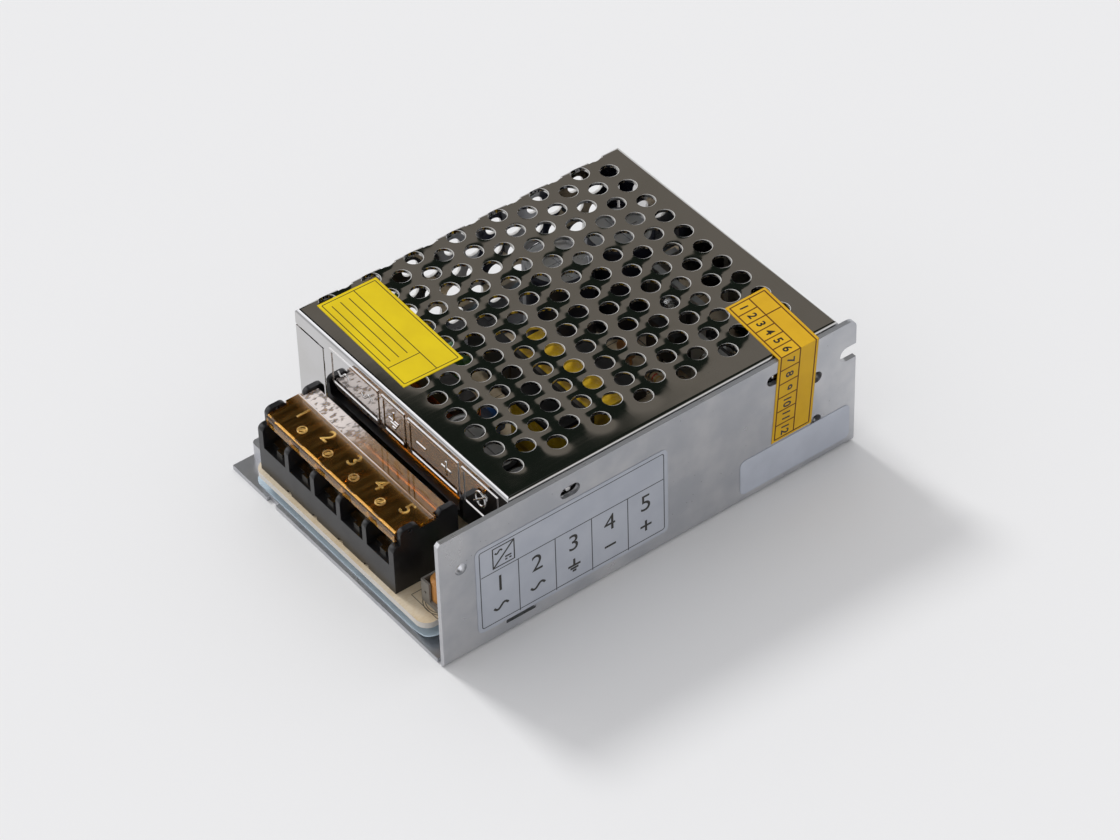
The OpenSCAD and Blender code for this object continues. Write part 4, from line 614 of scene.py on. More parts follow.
@dataclass(frozen=True)
class PrintedBoard(Finish):
    """Cream board laminate with a printed legend and a paler cut edge."""

    tone: Colour = ink(228, 214, 190)
    dull_tone: Colour = ink(212, 190, 154)
    edge_tone: Colour = ink(208, 206, 203)
    legend: Colour = ink(46, 44, 42)
    line_width: float = 0.18
    adjuster: Flat = (27.8, -47.1)
    ring_radii: Flat = (3.9, 4.45)
    outline_centre: Flat = (26.7, -47.2)
    outline_half: Flat = (4.6, 4.2)
    block_corner: Flat = (-24.0, -31.0)
    block_pitch: Flat = (18.0, 15.0)
    block_half: Flat = (8.0, 6.4)
    blocks_from: float = -36.0
    top: float = 6.2
    thickness: float = 1.6

    def dress(self) -> None:
        """Glass fibre, clouds, and the legend's rings, frame and blocks on the upper side."""
        tree, where = self.start()
        fibre = where.noise(0.35, 3.0, (1, 3, 1))
        cloud = where.noise(8.0, 3.0)
        x, y, z = where.axes()
        upper = z > self.top - 0.05
        radius = (x - self.adjuster[0]).slope(y - self.adjuster[1])
        rings = [radius.line(ring, 0.2, 0.04) for ring in self.ring_radii]
        middle_x, middle_y = self.outline_centre
        box = (x - middle_x).from_frame(y - middle_y, self.outline_half, 0.1)
        (left, low), (wide, high) = self.block_corner, self.block_pitch
        across, up = (x - left).wrapped(wide / 2), (y - low).wrapped(high / 2)
        blocks = across.from_frame(up, self.block_half, 0.6)
        outlines = box.line(0.0, self.line_width, 0.03)
        inner = blocks.line(0.0, self.line_width, 0.03) * (y > self.blocks_from)
        printed = (rings[0] + rings[1] + outlines + inner).least(1.0) * upper
        edge = (1 - upper) * (z > self.top - self.thickness - 0.1)
        mottle = cloud.ramp(0.35, 0.7) * 0.7 + fibre.ramp(0.45, 0.65) * 0.3
        tone = tree.hue(mottle, self.tone, self.dull_tone)
        tone = tone.towards(edge * 0.8, self.edge_tone).towards(printed * 0.85, self.legend)
        gloss = 0.5 + fibre * 0.12 - printed * 0.08
        tree.surface(tone, gloss, fibre * 0.01 + printed * 0.02, {"Coat Weight": 0.15})


@dataclass(frozen=True)
class FilmSheet(Finish):
    """Thin bluish insulating film with soft folds."""

    tone: Colour = ink(204, 222, 234)
    deep_tone: Colour = ink(176, 194, 208)

    def dress(self) -> None:
        """Soft folds and a fine skin."""
        tree, where = self.start()
        folds = where.noise(12.0)
        fine = where.noise(0.8)
        tone = tree.hue(folds.spread() * 0.7, self.tone, self.deep_tone)
        tree.surface(tone, 0.3 + folds * 0.12, folds * 0.25 + fine * 0.006, {"Coat Weight": 0.25})


Rule = tuple[float, float, float]


@dataclass(frozen=True)
class RuledLabel(Finish):
    """A stuck label with a frame, ruled lines and worn edges, and no words.

    across and up turn a place into distances on the label from its low corner, and size is its width and
    height there. A rule or post is a line's level, its start and its end.
    """

    tone: Colour
    worn: Colour
    across: tuple[Point, float]
    up: tuple[Point, float]
    size: Flat
    print_tone: Colour = ink(30, 28, 22)
    frame_inset: float = 0.75
    frame_radius: float = 0.2
    frame_width: float = 0.25
    rules: Sequence[Rule] = ()
    posts: Sequence[Rule] = ()
    gloss: float = 0.3
    coat: float = 0.2
    specular: float = 0.5
    soft: float = 0.03

    def dress(self) -> None:
        """Fibre, clouds, rubbed edges and the printed lines."""
        tree, where = self.start()
        across, up = (where.dot(way) + offset for way, offset in (self.across, self.up))
        half_wide, half_high = self.size[0] / 2, self.size[1] / 2
        side, rise = across - half_wide, up - half_high
        inner = (half_wide - self.frame_inset, half_high - self.frame_inset)
        printed = side.from_frame(rise, inner, self.frame_radius).line(0.0, self.frame_width, self.soft)
        for lines, level_way, run_way in ((self.rules, up, across), (self.posts, across, up)):
            for level, first, last in lines:
                line = level_way.line(level, self.frame_width, self.soft)
                printed = printed.most(line * (run_way > first) * (run_way < last))
        fibre = where.noise(0.5, 3.0)
        cloud = where.noise(7.0, 3.0)
        rim = side.from_frame(rise, (half_wide, half_high), 0.3).ramp(-0.5, 0.0)
        tone = tree.hue(cloud.spread() * 0.6 + rim * 0.3, self.tone, self.worn)
        tone = tone.towards(printed * (0.9 + fibre * 0.1), self.print_tone)
        gloss = self.gloss + cloud * 0.1 + printed * 0.05
        tree.surface(tone, gloss, cloud * 0.05 + fibre * 0.003,
                     {"Coat Weight": self.coat, "Specular IOR Level": self.specular})


# Modelling


class Bench:
    """The workbench: one piece at a time is shaped here with Blender's own operators."""

    merge: float = 0.002
    flat_angle: float = 0.2
    sharp_angle: float = 30.0
    smooth_angle: float = 40.0
    stroke_angle: float = 60.0
    cap_height: float = 0.72

    @staticmethod
    def clear() -> None:
        """Deselects everything."""
        bpy.ops.object.select_all(action="DESELECT")

    @classmethod
    def hold(cls, piece: Piece) -> None:
        """Selects one piece alone and makes it active.

        Args:
            piece: The piece.
        """
        cls.clear()
        piece.select_set(True)
        bpy.context.view_layer.objects.active = piece

    @classmethod
    def rounded(cls, node: str, name: str, edge: float, segments: int = 2) -> Piece:
        """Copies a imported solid, merges its loose triangles into whole faces and rounds its sharp edges.

        Args:
            node: The solid's name.
            name: The new piece's name.
            edge: The width of the rounding in millimetres.
            segments: The number of faces across it.

        Returns:
            The piece.
        """
        piece = bpy.data.objects.new(name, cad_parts[node].data.copy())
        piece.data.name = name
        piece.data.materials.clear()
        bpy.context.scene.collection.objects.link(piece)
        cls.hold(piece)
        bpy.ops.object.mode_set(mode="EDIT")
        bpy.ops.mesh.select_all(action="SELECT")
        bpy.ops.mesh.remove_doubles(threshold=cls.merge * MM)
        bpy.ops.mesh.dissolve_limited(angle_limit=math.radians(cls.flat_angle))
        bpy.ops.object.mode_set(mode="OBJECT")
        rounding = piece.modifiers.new("rounding", "BEVEL")
        rounding.width, rounding.segments = edge * MM, segments
        rounding.limit_method, rounding.angle_limit = "ANGLE", math.radians(cls.sharp_angle)
        bpy.ops.object.modifier_apply(modifier="rounding")
        bpy.ops.object.shade_smooth_by_angle(angle=math.radians(cls.smooth_angle))
        flats = piece.modifiers.new("flats", "WEIGHTED_NORMAL")
        flats.mode, flats.weight, flats.keep_sharp = "FACE_AREA", 100, True
        bpy.ops.object.modifier_apply(modifier="flats")
        return piece

    @classmethod
    def lay(cls, piece: Piece, facing: Facing, at: Point, turn: float = 0.0) -> None:
        """Moves a flat sign onto a face and applies its place.

        Args:
            piece: The sign, drawn round the origin and read from above.
            facing: The side that it is read from.
            at: Where its middle goes, in millimetres.
            turn: Turn in its own plane, in degrees.
        """
        cls.hold(piece)
        basis = Matrix([Vector(axis) for axis in facing.value]).transposed().to_4x4()
        spin = Matrix.Rotation(math.radians(turn), 4, "Z")
        piece.matrix_world = Matrix.Translation(Vector(at) * MM) @ basis @ spin
        bpy.ops.object.transform_apply(location=True, rotation=True, scale=True)

    @classmethod
    def numeral(cls, text: str, height: float, depth: float, thin: float = 0.0, edge: float = 0.0) -> Piece:
        """A plain number as a mesh, round the origin.

        Args:
            text: The digits.
            height: Their height in millimetres.
            depth: How far they stand proud, in millimetres.
            thin: How much each stroke is thinned, in millimetres.
            edge: The rounding of their edges, in millimetres.

        Returns:
            The mesh object.
        """
        cls.clear()
        bpy.ops.object.text_add()
        digits = bpy.context.object.data
        digits.body = text
        digits.size = height * MM / cls.cap_height
        digits.align_x, digits.align_y = "CENTER", "CENTER"
        digits.offset, digits.extrude, digits.bevel_depth = -thin * MM, depth * MM, edge * MM
        digits.resolution_u = 5
        bpy.ops.object.convert(target="MESH")
        return bpy.context.object

    @classmethod
    def strokes(cls, lines: Sequence[Line], width: float, proud: float) -> Piece:
        """A sign of rounded raised lines as a mesh, round the origin.

        Args:
            lines: The lines' points in millimetres. A line that ends where it starts is closed.
            width: The lines' width.
            proud: How far they stand above the surface.

        Returns:
            The mesh object.
        """
        curve = bpy.data.curves.new("sign", "CURVE")
        curve.dimensions = "3D"
        curve.bevel_depth, curve.bevel_resolution = width / 2 * MM, 2
        curve.use_fill_caps = True
        for line in lines:
            closed = line[0] == line[-1]
            points = line[:-1] if closed else line
            spline = curve.splines.new("POLY")
            spline.points.add(len(points) - 1)
            for target, (x, y) in zip(spline.points, points):
                target.co = (x * MM, y * MM, 0.0, 1.0)
            spline.use_cyclic_u = closed
        piece = bpy.data.objects.new("sign", curve)
        bpy.context.scene.collection.objects.link(piece)
        cls.hold(piece)
        bpy.ops.object.convert(target="MESH")
        piece = bpy.context.object
        piece.scale = (1.0, 1.0, proud / (width / 2))
        bpy.ops.object.transform_apply(location=True, rotation=True, scale=True)
        bpy.ops.object.shade_smooth_by_angle(angle=math.radians(cls.stroke_angle))
        return piece

    @classmethod
    def join(cls, pieces: Sequence[Piece], name: str) -> Piece:
        """Joins pieces, whose places are applied, into one.

        Args:
            pieces: The pieces.
            name: The name of the whole.

        Returns:
            The whole.
        """
        cls.hold(pieces[0])
        for piece in pieces[1:]:
            piece.select_set(True)
        bpy.ops.object.join()
        whole = bpy.context.object
        whole.name = whole.data.name = name
        return whole

    @staticmethod
    def deliver(piece: Piece, body: Body, slot: str, finish: Finish, *replaces: str) -> None:
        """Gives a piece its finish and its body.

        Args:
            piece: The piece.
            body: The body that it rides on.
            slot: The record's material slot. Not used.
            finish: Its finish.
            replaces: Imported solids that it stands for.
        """
        piece.data.materials.append(finish.material())
        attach(piece, body.value)
        if replaces:
            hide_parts(*replaces)
        LOG.info("%s: %d faces on %s", piece.name, len(piece.data.polygons), body.value)

    @staticmethod
    def paint(finish: Finish, *nodes: str) -> None:
        """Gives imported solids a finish.

        Args:
            finish: The finish.
            nodes: The solids' names.
        """
        for name in nodes:
            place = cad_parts[name].material_slots[0]
            place.link = "OBJECT"
            place.material = finish.material()
            LOG.info("%s: finish %s", name, finish.name)


def circle(radius: float, steps: int = 16) -> list[Flat]:
    """Points round a circle about the origin, ending exactly where they start."""
    angles = [math.radians(360 * (index % steps) / steps) for index in range(steps + 1)]
    return [(radius * math.cos(angle), radius * math.sin(angle)) for angle in angles]


# One wave, 3 mm long and 1.1 mm high
WAVE = [(x / 10 * 1.5, 0.55 * math.sin(math.pi * x / 10)) for x in range(-10, 11)]


class Sign(Enum):
    """Generic signs, drawn as lines in millimetres."""

    ALTERNATING = [WAVE]
    EARTH = [[(0, 1.5), (0, 0)], [(-1.3, 0), (1.3, 0)], [(-0.85, -0.6), (0.85, -0.6)],
             [(-0.4, -1.2), (0.4, -1.2)]]
    MINUS = [[(-1.2, 0), (1.2, 0)]]
    PLUS = [[(-1.2, 0), (1.2, 0)], [(0, -1.2), (0, 1.2)]]
    ADJUST = [circle(1.2), [(-1.7, -1.3), (1.7, 1.3)], [(1.1, 1.35), (1.7, 1.3), (1.6, 0.7)]]
    SCREW = [circle(1.05), [(-0.75, -0.3), (0.55, 0.75)], [(-0.55, -0.75), (0.75, 0.3)]]
    CONVERTER = [[(-2.2, -2.2), (2.2, -2.2), (2.2, 2.2), (-2.2, 2.2), (-2.2, -2.2)],
                 [(-2.2, -2.2), (2.2, 2.2)], [(-1.0 + x * 0.496, 1.1 + y * 0.56) for x, y in WAVE],
                 [(0.3, -0.8), (1.6, -0.8)], [(0.3, -1.4), (0.75, -1.4)], [(1.15, -1.4), (1.6, -1.4)]]

    def lines(self, wide: float = 1.0, high: float = 1.0) -> list[list[Flat]]:
        """The sign's lines, stretched across and upward."""
        return [[(x * wide, y * high) for x, y in line] for line in self.value]


# Sub-assemblies


@dataclass
class FoldedBase:
    """The folded sheet base with its tall labelled wall."""

    edge: float = 0.16
    zinc: RolledMetal = RolledMetal("Satin zinc sheet", ink(200, 200, 202), ink(179, 181, 186), gloss=0.27,
                                    grain=(1, 30, 30), mottle=11.0, grain_depth=0.0015, metal=0.82)

    def build(self) -> None:
        """Rounds the sheet's edges, so that they catch the light."""
        base = Bench.rounded("base_chassis", "folded_base", self.edge)
        Bench.deliver(base, Body.CHASSIS, "base_alloy", self.zinc, "base_chassis")


@dataclass
class VentedCover:
    """The perforated mirror-bright cover and the signs pressed into its front flange."""

    edge: float = 0.14
    face_y: float = -36.4
    sign_z: float = 28.9
    sign_places: tuple[tuple[Sign, float], ...] = (
        (Sign.ALTERNATING, -21.45), (Sign.ALTERNATING, -13.0), (Sign.EARTH, -3.05), (Sign.MINUS, 6.8),
        (Sign.PLUS, 15.6), (Sign.ADJUST, 27.5))
    sign_stretch: Flat = (1.35, 1.6)
    line_width: float = 0.62
    line_proud: float = 0.2
    plate: PunchedPlate = PunchedPlate("Bright nickel sheet")

    def build(self) -> None:
        """Rounds the sheet and its vents, and presses the signs."""
        cover = Bench.rounded("mesh_cover", "vented_cover", self.edge)
        Bench.deliver(cover, Body.CHASSIS, "cover_nickel", self.plate, "mesh_cover")
        signs = []
        for sign, x in self.sign_places:
            signs.append(Bench.strokes(sign.lines(*self.sign_stretch), self.line_width, self.line_proud))
            Bench.lay(signs[-1], Facing.FRONT, (x, self.face_y, self.sign_z))
        Bench.deliver(Bench.join(signs, "pressed_signs"), Body.CHASSIS, "cover_nickel", self.plate)


@dataclass
class TerminalBlock:
    """The black housing, its contacts, clamps and screws."""

    edge: float = 0.15
    poles: int = 5
    black: Moulding = Moulding("Black moulding", ink(17, 17, 19), ink(28, 28, 31), gloss=0.3, skin=0.5,
                               skin_depth=0.006)
    bright: RolledMetal = RolledMetal("Nickel plated contact", ink(214, 210, 200), ink(190, 186, 176),
                                      gloss=0.14, grain=(1, 1, 1), mottle=2.0)

    def build(self) -> None:
        """Rounds the housing's edges and dresses the metal in it."""
        housing = Bench.rounded("terminal_housing", "block_housing", self.edge)
        Bench.deliver(housing, Body.CHASSIS, "moulded_black", self.black, "terminal_housing")
        Bench.paint(self.bright, "terminal_contacts")
        for pole in range(1, self.poles + 1):
            Bench.paint(self.bright, f"clamp_washer_{pole}", f"terminal_screw_{pole}")


@dataclass
class HingedLid:
    """The clear amber lid with its raised numbers, and a screw sign between each two of them; the numbers and
    signs are a paler, hazier amber, as a painted highlight.
    """

    edge: float = 0.18
    top: float = 21.95
    first_x: float = -23.85
    pole_pitch: float = 9.5
    poles: int = 5
    number_shift: Flat = (0.3, -46.1)
    sign_shift: Flat = (4.4, -49.1)
    number_height: float = 3.7
    number_thin: float = 0.03
    number_edge: float = 0.05
    number_sink: float = 0.03
    proud: float = 0.2
    stroke: float = 0.4
    amber: ClearMoulding = ClearMoulding("Clear amber moulding", ink(236, 172, 66), ink(236, 176, 84),
                                         gloss=0.015, flow_depth=0.003, step=-43.1)
    # Paler and hazier than the lid's own amber: a painted highlight on the raised numbers and signs.
    ridge_highlight: ClearMoulding = ClearMoulding("Amber ridge", ink(250, 206, 110), ink(250, 204, 112), haze=0.75,
                                         gloss=0.12, flow_depth=0.01)

    def build(self) -> None:
        """Rounds the lid and raises its numbers and signs."""
        lid = Bench.rounded("terminal_lid", "amber_lid", self.edge, segments=3)
        Bench.deliver(lid, Body.LID, "amber_clear", self.amber, "terminal_lid")
        marks = []
        for pole in range(self.poles):
            x = self.first_x + pole * self.pole_pitch
            half = self.proud / 2
            middle = self.top + half - self.number_sink
            marks.append(Bench.numeral(str(pole + 1), self.number_height, half, self.number_thin,
                                       self.number_edge))
            Bench.lay(marks[-1], Facing.TOP, (x + self.number_shift[0], self.number_shift[1], middle))
            if pole + 1 < self.poles:
                marks.append(Bench.strokes(Sign.SCREW.lines(), self.stroke, self.proud))
                Bench.lay(marks[-1], Facing.TOP, (x + self.sign_shift[0], self.sign_shift[1], self.top))
        Bench.deliver(Bench.join(marks, "lid_numbers"), Body.LID, "amber_clear", self.ridge_highlight)


@dataclass
class Labels:
    """The four stuck labels: ruled, numbered and signed, with no words."""

    inset: float = 0.75
    proud: float = 0.015
    label_top: float = 36.12
    wall_x: float = 39.12
    notice_corner: Flat = (-36.7, -32.1)
    notice_turn: float = -1.5
    notice_size: Flat = (33.0, 15.3)
    notice_levels: Point = (2.4, 4.6, 6.8)
    notice_run: Flat = (2.2, 24.5)
    notice_post: Flat = (26.0, 9.0)
    seal_start: Flat = (19.12, 35.44)
    seal_slope: float = -0.0775
    seal_size: Flat = (43.4, 11.03)
    seal_header: float = 6.0
    seal_numeral: float = 2.1
    seal_thin: float = -0.07
    seal_cells: int = 6
    fold: float = 19.94
    rating_low: Flat = (-46.5, 4.4)
    rating_size: Flat = (50.3, 23.9)
    rating_ends: Flat = (1.3, 49.1)
    rating_cell: Flat = (0.6, 15.6)
    rating_rows: Flat = (11.4, 5.0)
    rating_numeral: float = 4.6
    rating_stroke: float = 0.6
    rating_stretch: Flat = (1.25, 1.25)
    converter_place: Flat = (7.2, 19.25)
    converter_stroke: float = 0.45
    type_low: Flat = (23.5, 2.5)
    type_size: Flat = (30.5, 9.7)
    black: Moulding = Moulding("Label print", ink(28, 26, 22), ink(46, 42, 34), gloss=0.4, skin_depth=0.001)

    def build(self) -> None:
        """Dresses each label and prints it."""
        self.notice()
        self.seal()
        self.rating()
        self.plain()

    def notice(self) -> None:
        """The yellow label on the top, with ruled lines."""
        turn = math.radians(self.notice_turn)
        c, s = math.cos(turn), math.sin(turn)
        x0, y0 = self.notice_corner
        post, header = self.notice_post
        rules = [(level, *self.notice_run) for level in self.notice_levels]
        rules.append((header, self.inset, self.notice_size[0] - self.inset))
        finish = RuledLabel(
            "Yellow label", ink(226, 199, 8), ink(214, 185, 10), ((c, s, 0), -(x0 * c + y0 * s)),
            ((-s, c, 0), x0 * s - y0 * c), self.notice_size, frame_width=0.22, rules=rules,
            posts=[(post, self.inset, header)], gloss=0.4, coat=0.0, specular=0.2)
        Bench.paint(finish, "notice_label")

    def seal(self) -> None:
        """The amber label folded over the edge, with a frame and numbered cells."""
        x0, y0 = self.seal_start
        wide, high = self.seal_size
        slope, header = self.seal_slope, self.seal_header
        from_top = self.label_top - x0
        bounds = self.cell_bounds()
        posts = [(edge, self.inset, header) for edge in bounds[1:-1]]
        posts.append((bounds[2], header, high - self.inset))
        finish = RuledLabel(
            "Amber label", ink(219, 172, 26), ink(202, 154, 20), ((1, 0, -1), from_top),
            ((-slope, 1, slope), -(y0 + slope * from_top)), self.seal_size, ink(88, 46, 10),
            frame_radius=0.1, frame_width=0.34, rules=[(header, self.inset, wide - self.inset)], posts=posts,
            gloss=0.42, coat=0.0, specular=0.2)
        Bench.paint(finish, "seal_label")
        tilt = math.degrees(math.atan(slope))
        numbers = []
        for index, (start, end) in enumerate(zip(bounds, bounds[1:])):
            middle = (start + end) / 2
            rise = y0 + slope * middle + (header + self.inset) / 2
            numbers.append(Bench.numeral(str(index + 1), self.seal_numeral, self.proud, self.seal_thin))
            if middle < self.fold:
                Bench.lay(numbers[-1], Facing.TOP, (x0 + middle, rise, self.label_top), tilt)
            else:
                height = self.label_top - (middle - self.fold)
                Bench.lay(numbers[-1], Facing.FOLDED, (self.wall_x, rise, height), tilt)
        Bench.deliver(Bench.join(numbers, "seal_numbers"), Body.CHASSIS, "label_amber", self.black)

    def cell_bounds(self) -> list[float]:
        """Divides the seal label into cells, as many before the fold as after it.

        Returns:
            The distances along the label at which the cells start and end.
        """
        first, last, cells = self.inset, self.seal_size[0] - self.inset, self.seal_cells
        top = [first + (self.fold - first) * i / cells for i in range(cells + 1)]
        return top + [self.fold + (last - self.fold) * i / cells for i in range(1, cells + 1)]

    def rating(self) -> None:
        """The silver label on the tall wall: a frame and a table of the terminals' signs."""
        y0, z0 = self.rating_low
        left, right = self.rating_ends
        low, mid = self.rating_cell
        signs = (Sign.ALTERNATING, Sign.ALTERNATING, Sign.EARTH, Sign.MINUS, Sign.PLUS)
        cell = (right - left) / len(signs)
        finish = RuledLabel(
            "Silver rating label", ink(184, 188, 197), ink(170, 175, 186), ((0, 1, 0), -y0), ((0, 0, 1), -z0),
            self.rating_size, ink(34, 34, 38), frame_inset=1.05, frame_radius=0.6, frame_width=0.24,
            rules=[(mid, left, right)], posts=[(left + cell * i, low, mid) for i in range(1, len(signs))])
        Bench.paint(finish, "rating_label")
        prints = []
        for index, sign in enumerate(signs):
            middle = y0 + left + cell * (index + 0.5)
            prints.append(Bench.numeral(str(index + 1), self.rating_numeral, self.proud))
            Bench.lay(prints[-1], Facing.RIGHT, (self.wall_x, middle, z0 + self.rating_rows[0]))
            prints.append(Bench.strokes(sign.lines(*self.rating_stretch), self.rating_stroke, self.proud))
            Bench.lay(prints[-1], Facing.RIGHT, (self.wall_x, middle, z0 + self.rating_rows[1]))
        across, up = self.converter_place
        converter = Sign.CONVERTER.lines(*self.rating_stretch)
        prints.append(Bench.strokes(converter, self.converter_stroke, self.proud))
        Bench.lay(prints[-1], Facing.RIGHT, (self.wall_x, y0 + across, z0 + up))
        Bench.deliver(Bench.join(prints, "rating_print"), Body.CHASSIS, "label_silver", self.black)

    def plain(self) -> None:
        """The small silver label near the rear, left bare: its frame lies outside it."""
        finish = RuledLabel(
            "Silver type label", ink(192, 197, 208), ink(176, 181, 192), ((0, 1, 0), -self.type_low[0]),
            ((0, 0, 1), -self.type_low[1]), self.type_size, frame_inset=-5.0)
        Bench.paint(finish, "type_label")


@dataclass
class OutputAdjuster:
    """The small output adjuster and the lamp beside it."""

    base: Moulding = Moulding("Grey adjuster frame", ink(116, 112, 106), ink(150, 146, 138), gloss=0.4)
    rotor: Moulding = Moulding("Tan adjuster rotor", ink(196, 132, 66), ink(214, 158, 92), gloss=0.36)
    lamp: ClearMoulding = ClearMoulding("Green lamp", ink(70, 190, 90), ink(70, 190, 90), haze=0.5, gloss=0.1,
                                        flow=(1, 1, 1))

    def build(self) -> None:
        """Dresses the adjuster's base, its rotor and the lamp."""
        Bench.paint(self.base, "adjuster_body")
        Bench.paint(self.rotor, "adjuster_rotor")
        Bench.paint(self.lamp, "indicator_lamp")


@dataclass
class Board:
    """The circuit board, its film, spacers and the parts soldered to it."""

    laminate: PrintedBoard = PrintedBoard("Cream laminate")
    film: FilmSheet = FilmSheet("Insulating film")
    glass: ClearMoulding = ClearMoulding("Fuse glass", ink(238, 243, 240), ink(235, 238, 238), gloss=0.01,
                                         flow=(1, 12, 1))
    resistor: Banded = Banded(
        "Banded resistor", ink(196, 170, 128),
        (ink(120, 60, 30), ink(20, 20, 20), ink(180, 60, 30), ink(190, 150, 60)), (1, 0, 0), 0.0, 0.45)
    diode: Banded = Banded("Diode body", ink(26, 26, 28), (ink(190, 190, 192),), (0, 1, 0), 42.6, 0.8)

    def build(self) -> None:
        """Dresses the board, its film and its parts."""
        for finish, node in (
                (self.laminate, "circuit_board"), (self.film, "insulating_film"), (self.glass, "fuse_tube"),
                (self.resistor, "resistors"), (self.diode, "diodes")):
            Bench.paint(finish, node)
        self.metal()
        self.cans()
        self.wound()
        self.moulded()

    def metal(self) -> None:
        """The screws, spacers, heatsinks and fuse ends."""
        even = (1, 1, 1)
        for name, tone, dull_tone, gloss, grain, mottle, marks, nodes in (
                ("Zinc plated steel", ink(206, 206, 204), ink(182, 184, 186), 0.22, even, 2.0, 1.0,
                 "board_standoffs board_screws heatsink_screws heatsink_nuts"),
                ("Nickel screw", ink(172, 174, 178), ink(146, 148, 153), 0.2, even, 9.0, 0.3, "cover_screws"),
                ("Tinned metal", ink(212, 212, 208), ink(186, 188, 188), 0.2, even, 1.5, 1.0, "fuse_ends"),
                ("Heatsink aluminium", ink(206, 208, 210), ink(184, 187, 190), 0.3, (30, 1, 1), 6.0, 1.0,
                 "primary_heatsink secondary_heatsink")):
            Bench.paint(RolledMetal(name, tone, dull_tone, gloss, grain, mottle, marks=marks), *nodes.split())

    def cans(self) -> None:
        """The sleeved electrolytic cans."""
        navy, dark = ink(26, 30, 44), ink(24, 26, 26)
        for node, centre, radius, top, sleeve in (
                ("input_capacitor_1", (-20.5, 20.5), 8.0, 31.2, navy),
                ("input_capacitor_2", (-20.5, 37.5), 8.0, 31.2, navy),
                ("output_capacitor_1", (5.5, -24.0), 5.0, 26.2, dark),
                ("output_capacitor_2", (16.0, -24.0), 5.0, 26.2, dark),
                ("output_capacitor_3", (26.5, -24.0), 5.0, 26.2, dark),
                ("auxiliary_capacitor", (20.5, 20.5), 4.0, 18.2, dark)):
            Bench.paint(SleevedCan(f"Sleeved can {node}", centre, radius, top, sleeve), node)

    def wound(self) -> None:
        """The transformer's windings and tape, and the chokes' copper."""
        # Each dark tone is painted shade in the hollows between the turns or layers.
        for name, tone, dark_tone, pitch, axis, depth, metal, gloss, nodes in (
                ("Yellow winding tape", ink(226, 186, 48), ink(150, 112, 20), 6.0, (0, 0, 1), 0.05, 0.0, 0.22,
                 "transformer_winding"),
                ("Yellow core tape", ink(222, 184, 52), ink(160, 124, 26), 9.0, (0, 1, 0), 0.02, 0.0, 0.25,
                 "transformer_tape"),
                ("Lacquered copper upright", ink(190, 105, 50), ink(90, 40, 18), 0.95, (0, 0, 1), 0.12, 0.7,
                 0.25, "choke_windings output_choke_coil")):
            Bench.paint(Wound(name, tone, dark_tone, pitch, axis, depth, metal, gloss), *nodes.split())

    def moulded(self) -> None:
        """The cores, the bobbin, the power cases, the chips and the ceramics."""
        for name, tone, pale_tone, gloss, skin, skin_depth, coat, nodes in (
                ("Ferrite", ink(52, 51, 50), ink(74, 72, 70), 0.45, 0.25, 0.02, 0.0,
                 "transformer_core choke_core output_choke_core"),
                ("Bobbin plastic", ink(30, 30, 31), ink(44, 44, 45), 0.35, 0.35, 0.004, 0.0,
                 "transformer_bobbin"),
                ("Black epoxy", ink(30, 30, 31), ink(46, 46, 47), 0.42, 0.2, 0.01, 0.0,
                 "switching_transistor output_rectifier controller_chip optocoupler bridge_rectifier"),
                ("Yellow capacitor box", ink(214, 176, 44), ink(226, 194, 74), 0.3, 0.35, 0.004, 0.0,
                 "line_filter_capacitor"),
                ("Blue ceramic", ink(44, 92, 160), ink(70, 118, 184), 0.2, 1.2, 0.03, 0.4,
                 "bypass_capacitors"),
                ("Green ceramic", ink(56, 104, 64), ink(80, 128, 86), 0.25, 1.2, 0.03, 0.3,
                 "surge_thermistor"),
                ("Tan ceramic", ink(186, 128, 72), ink(202, 150, 96), 0.3, 1.0, 0.03, 0.2,
                 "ceramic_capacitors")):
            Bench.paint(Moulding(name, tone, pale_tone, gloss, skin, skin_depth, coat), *nodes.split())


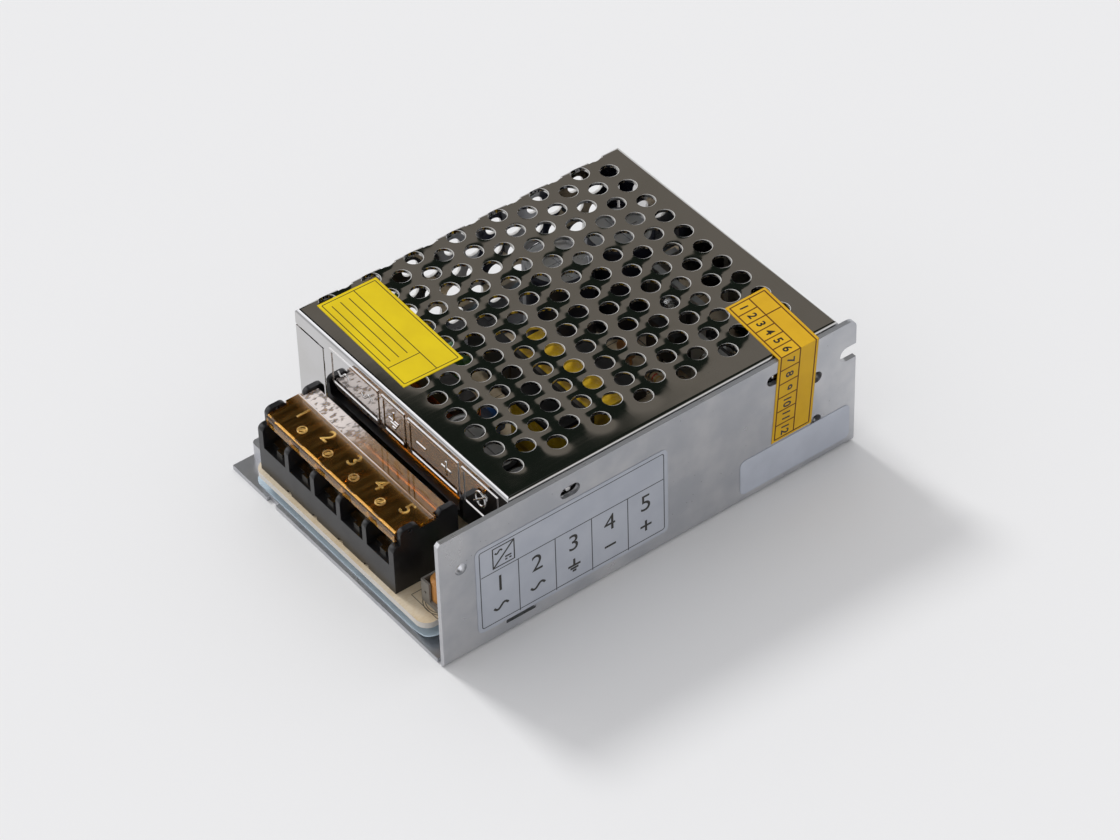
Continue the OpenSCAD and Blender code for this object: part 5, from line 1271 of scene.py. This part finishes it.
@dataclass
class Studio:
    """The room, floor, lamp and camera.

    A tone's rise is the pair of heights in the room, along up_way, between which the tone comes in.
    """

    focus: float = 4447.5
    picture_width: int = 1120
    sensor: float = 36.0
    sight: Flat = (0.01, 50.0)
    camera_place: Point = (576.68, -415.60, 662.96)
    camera_turn: Point = (2.12568430, 1.03713668, -0.486375183)
    lamp_azimuth: float = 187.0
    lamp_elevation: float = 39.5
    lamp_angle: float = 13.0
    lamp_share: float = 0.29
    floor_size: float = 12.0
    fill_slope: float = 0.28
    fill_blue: float = 1.02
    wall_tone: Colour = ink(236, 236, 236)
    up_way: Point = (-0.093, -0.128, 1.0)
    dim_tone: Colour = (0.172, 0.156, 0.132, 1.0)
    dim_rise: Flat = (0.50, 0.58)
    dark_tone: Colour = (0.011, 0.015, 0.011, 1.0)
    dark_rise: Flat = (0.6695, 0.6775)
    upper_tone: Colour = (0.16, 0.16, 0.16, 1.0)
    upper_rise: Flat = (0.84, 0.94)
    window_tone: Colour = (1.9, 1.9, 1.95, 1.0)
    window_heading: Flat = (206.0, 30.0)
    window_reach: Flat = (28.0, 18.0)

    def build(self) -> None:
        """Sets up the room, the floor, the lamp and the camera."""
        self.room()
        self.floor()
        self.lamp()
        self.camera()
        bpy.context.scene.view_settings.view_transform = "Standard"

    def camera(self) -> None:
        """The camera at the photograph's viewing angle."""
        turn = Vector(self.camera_turn)
        seen = Quaternion(turn.normalized(), turn.length).to_matrix()
        basis = Matrix((seen[0], -seen[1], -seen[2])).transposed()
        lens = bpy.data.cameras.new("camera")
        lens.lens = self.focus / self.picture_width * self.sensor
        lens.sensor_width = self.sensor
        lens.clip_start, lens.clip_end = self.sight
        camera = bpy.data.objects.new("camera", lens)
        camera.matrix_world = Matrix.Translation(Vector(self.camera_place) * MM) @ basis.to_4x4()
        bpy.context.scene.collection.objects.link(camera)
        bpy.context.scene.camera = camera

    def lamp(self) -> None:
        """One soft lamp, high on the left, that throws the shadow to the right."""
        towards = Vector(heading(self.lamp_azimuth, self.lamp_elevation))
        light = bpy.data.lights.new("soft lamp", "SUN")
        light.angle = math.radians(self.lamp_angle)
        light.energy = self.lamp_share * math.pi / towards.z
        lamp = bpy.data.objects.new("soft lamp", light)
        lamp.rotation_mode = "QUATERNION"
        lamp.rotation_quaternion = towards.to_track_quat("Z", "Y")
        lamp.visible_glossy = False
        bpy.context.scene.collection.objects.link(lamp)

    def floor(self) -> None:
        """A plain pale floor."""
        Bench.clear()
        bpy.ops.mesh.primitive_plane_add(size=self.floor_size)
        floor = bpy.context.object
        floor.name = "studio_floor"
        material = bpy.data.materials.new("Pale floor")
        tree = Tree(material)
        tree.show(tree.shader({"Base Color": self.wall_tone, "Roughness": 1.0, "Specular IOR Level": 0.0}))
        floor.data.materials.append(material)

    def room(self) -> None:
        """The room that lights the part evenly, and that the camera, metal and glass see: pale walls, a dim
        and a dark band above them, a grey ceiling and one bright window on the left."""
        world = bpy.data.worlds.new("room")
        bpy.context.scene.world = world
        tree = Tree(world)
        way = Spot(tree, tree.add("ShaderNodeTexCoord", {}, {}).outputs["Generated"])
        height = way.dot(self.up_way)
        seen = tree.hue(height.ramp(*self.dim_rise), self.wall_tone, self.dim_tone)
        seen = seen.towards(height.ramp(*self.dark_rise), self.dark_tone)
        seen = seen.towards(height.ramp(*self.upper_rise), self.upper_tone)
        rays = tree.add("ShaderNodeLightPath", {}, {}).outputs
        camera, glossy = Signal(tree, rays["Is Camera Ray"]), Signal(tree, rays["Is Glossy Ray"])
        looked = camera.most(glossy).most(Signal(tree, rays["Is Transmission Ray"]))
        edges = [math.cos(math.radians(angle)) for angle in self.window_reach]
        window = way.dot(heading(*self.window_heading)).ramp(*edges)
        seen = seen.towards(window * (1 - camera), self.window_tone)
        levels = [(1 - self.lamp_share) * (1 + slope) for slope in (self.fill_slope, -self.fill_slope)]
        fill = way.dot((1, 0, 0)).ramp(-1.0, 1.0, *levels)
        channels = {"Red": fill, "Green": fill, "Blue": fill * self.fill_blue}
        even = tree.add("ShaderNodeCombineColor", {}, channels)
        colour = tree.hue(looked, Hue(tree, even.outputs["Color"]), seen)
        backdrop = tree.add("ShaderNodeBackground", {}, {"Color": colour, "Strength": 1.0})
        tree.add("ShaderNodeOutputWorld", {}, {"Surface": backdrop.outputs[0]})


def main() -> None:
    """Builds the studio and dresses the part, sub-assembly by sub-assembly."""
    logging.basicConfig(level=logging.INFO, format="%(message)s")
    Studio().build()
    for assembly in (FoldedBase, VentedCover, TerminalBlock, HingedLid, Labels, OutputAdjuster, Board):
        LOG.info("Building %s", assembly.__name__)
        assembly().build()
    Bench.clear()


if __name__ == "__main__":
    main()
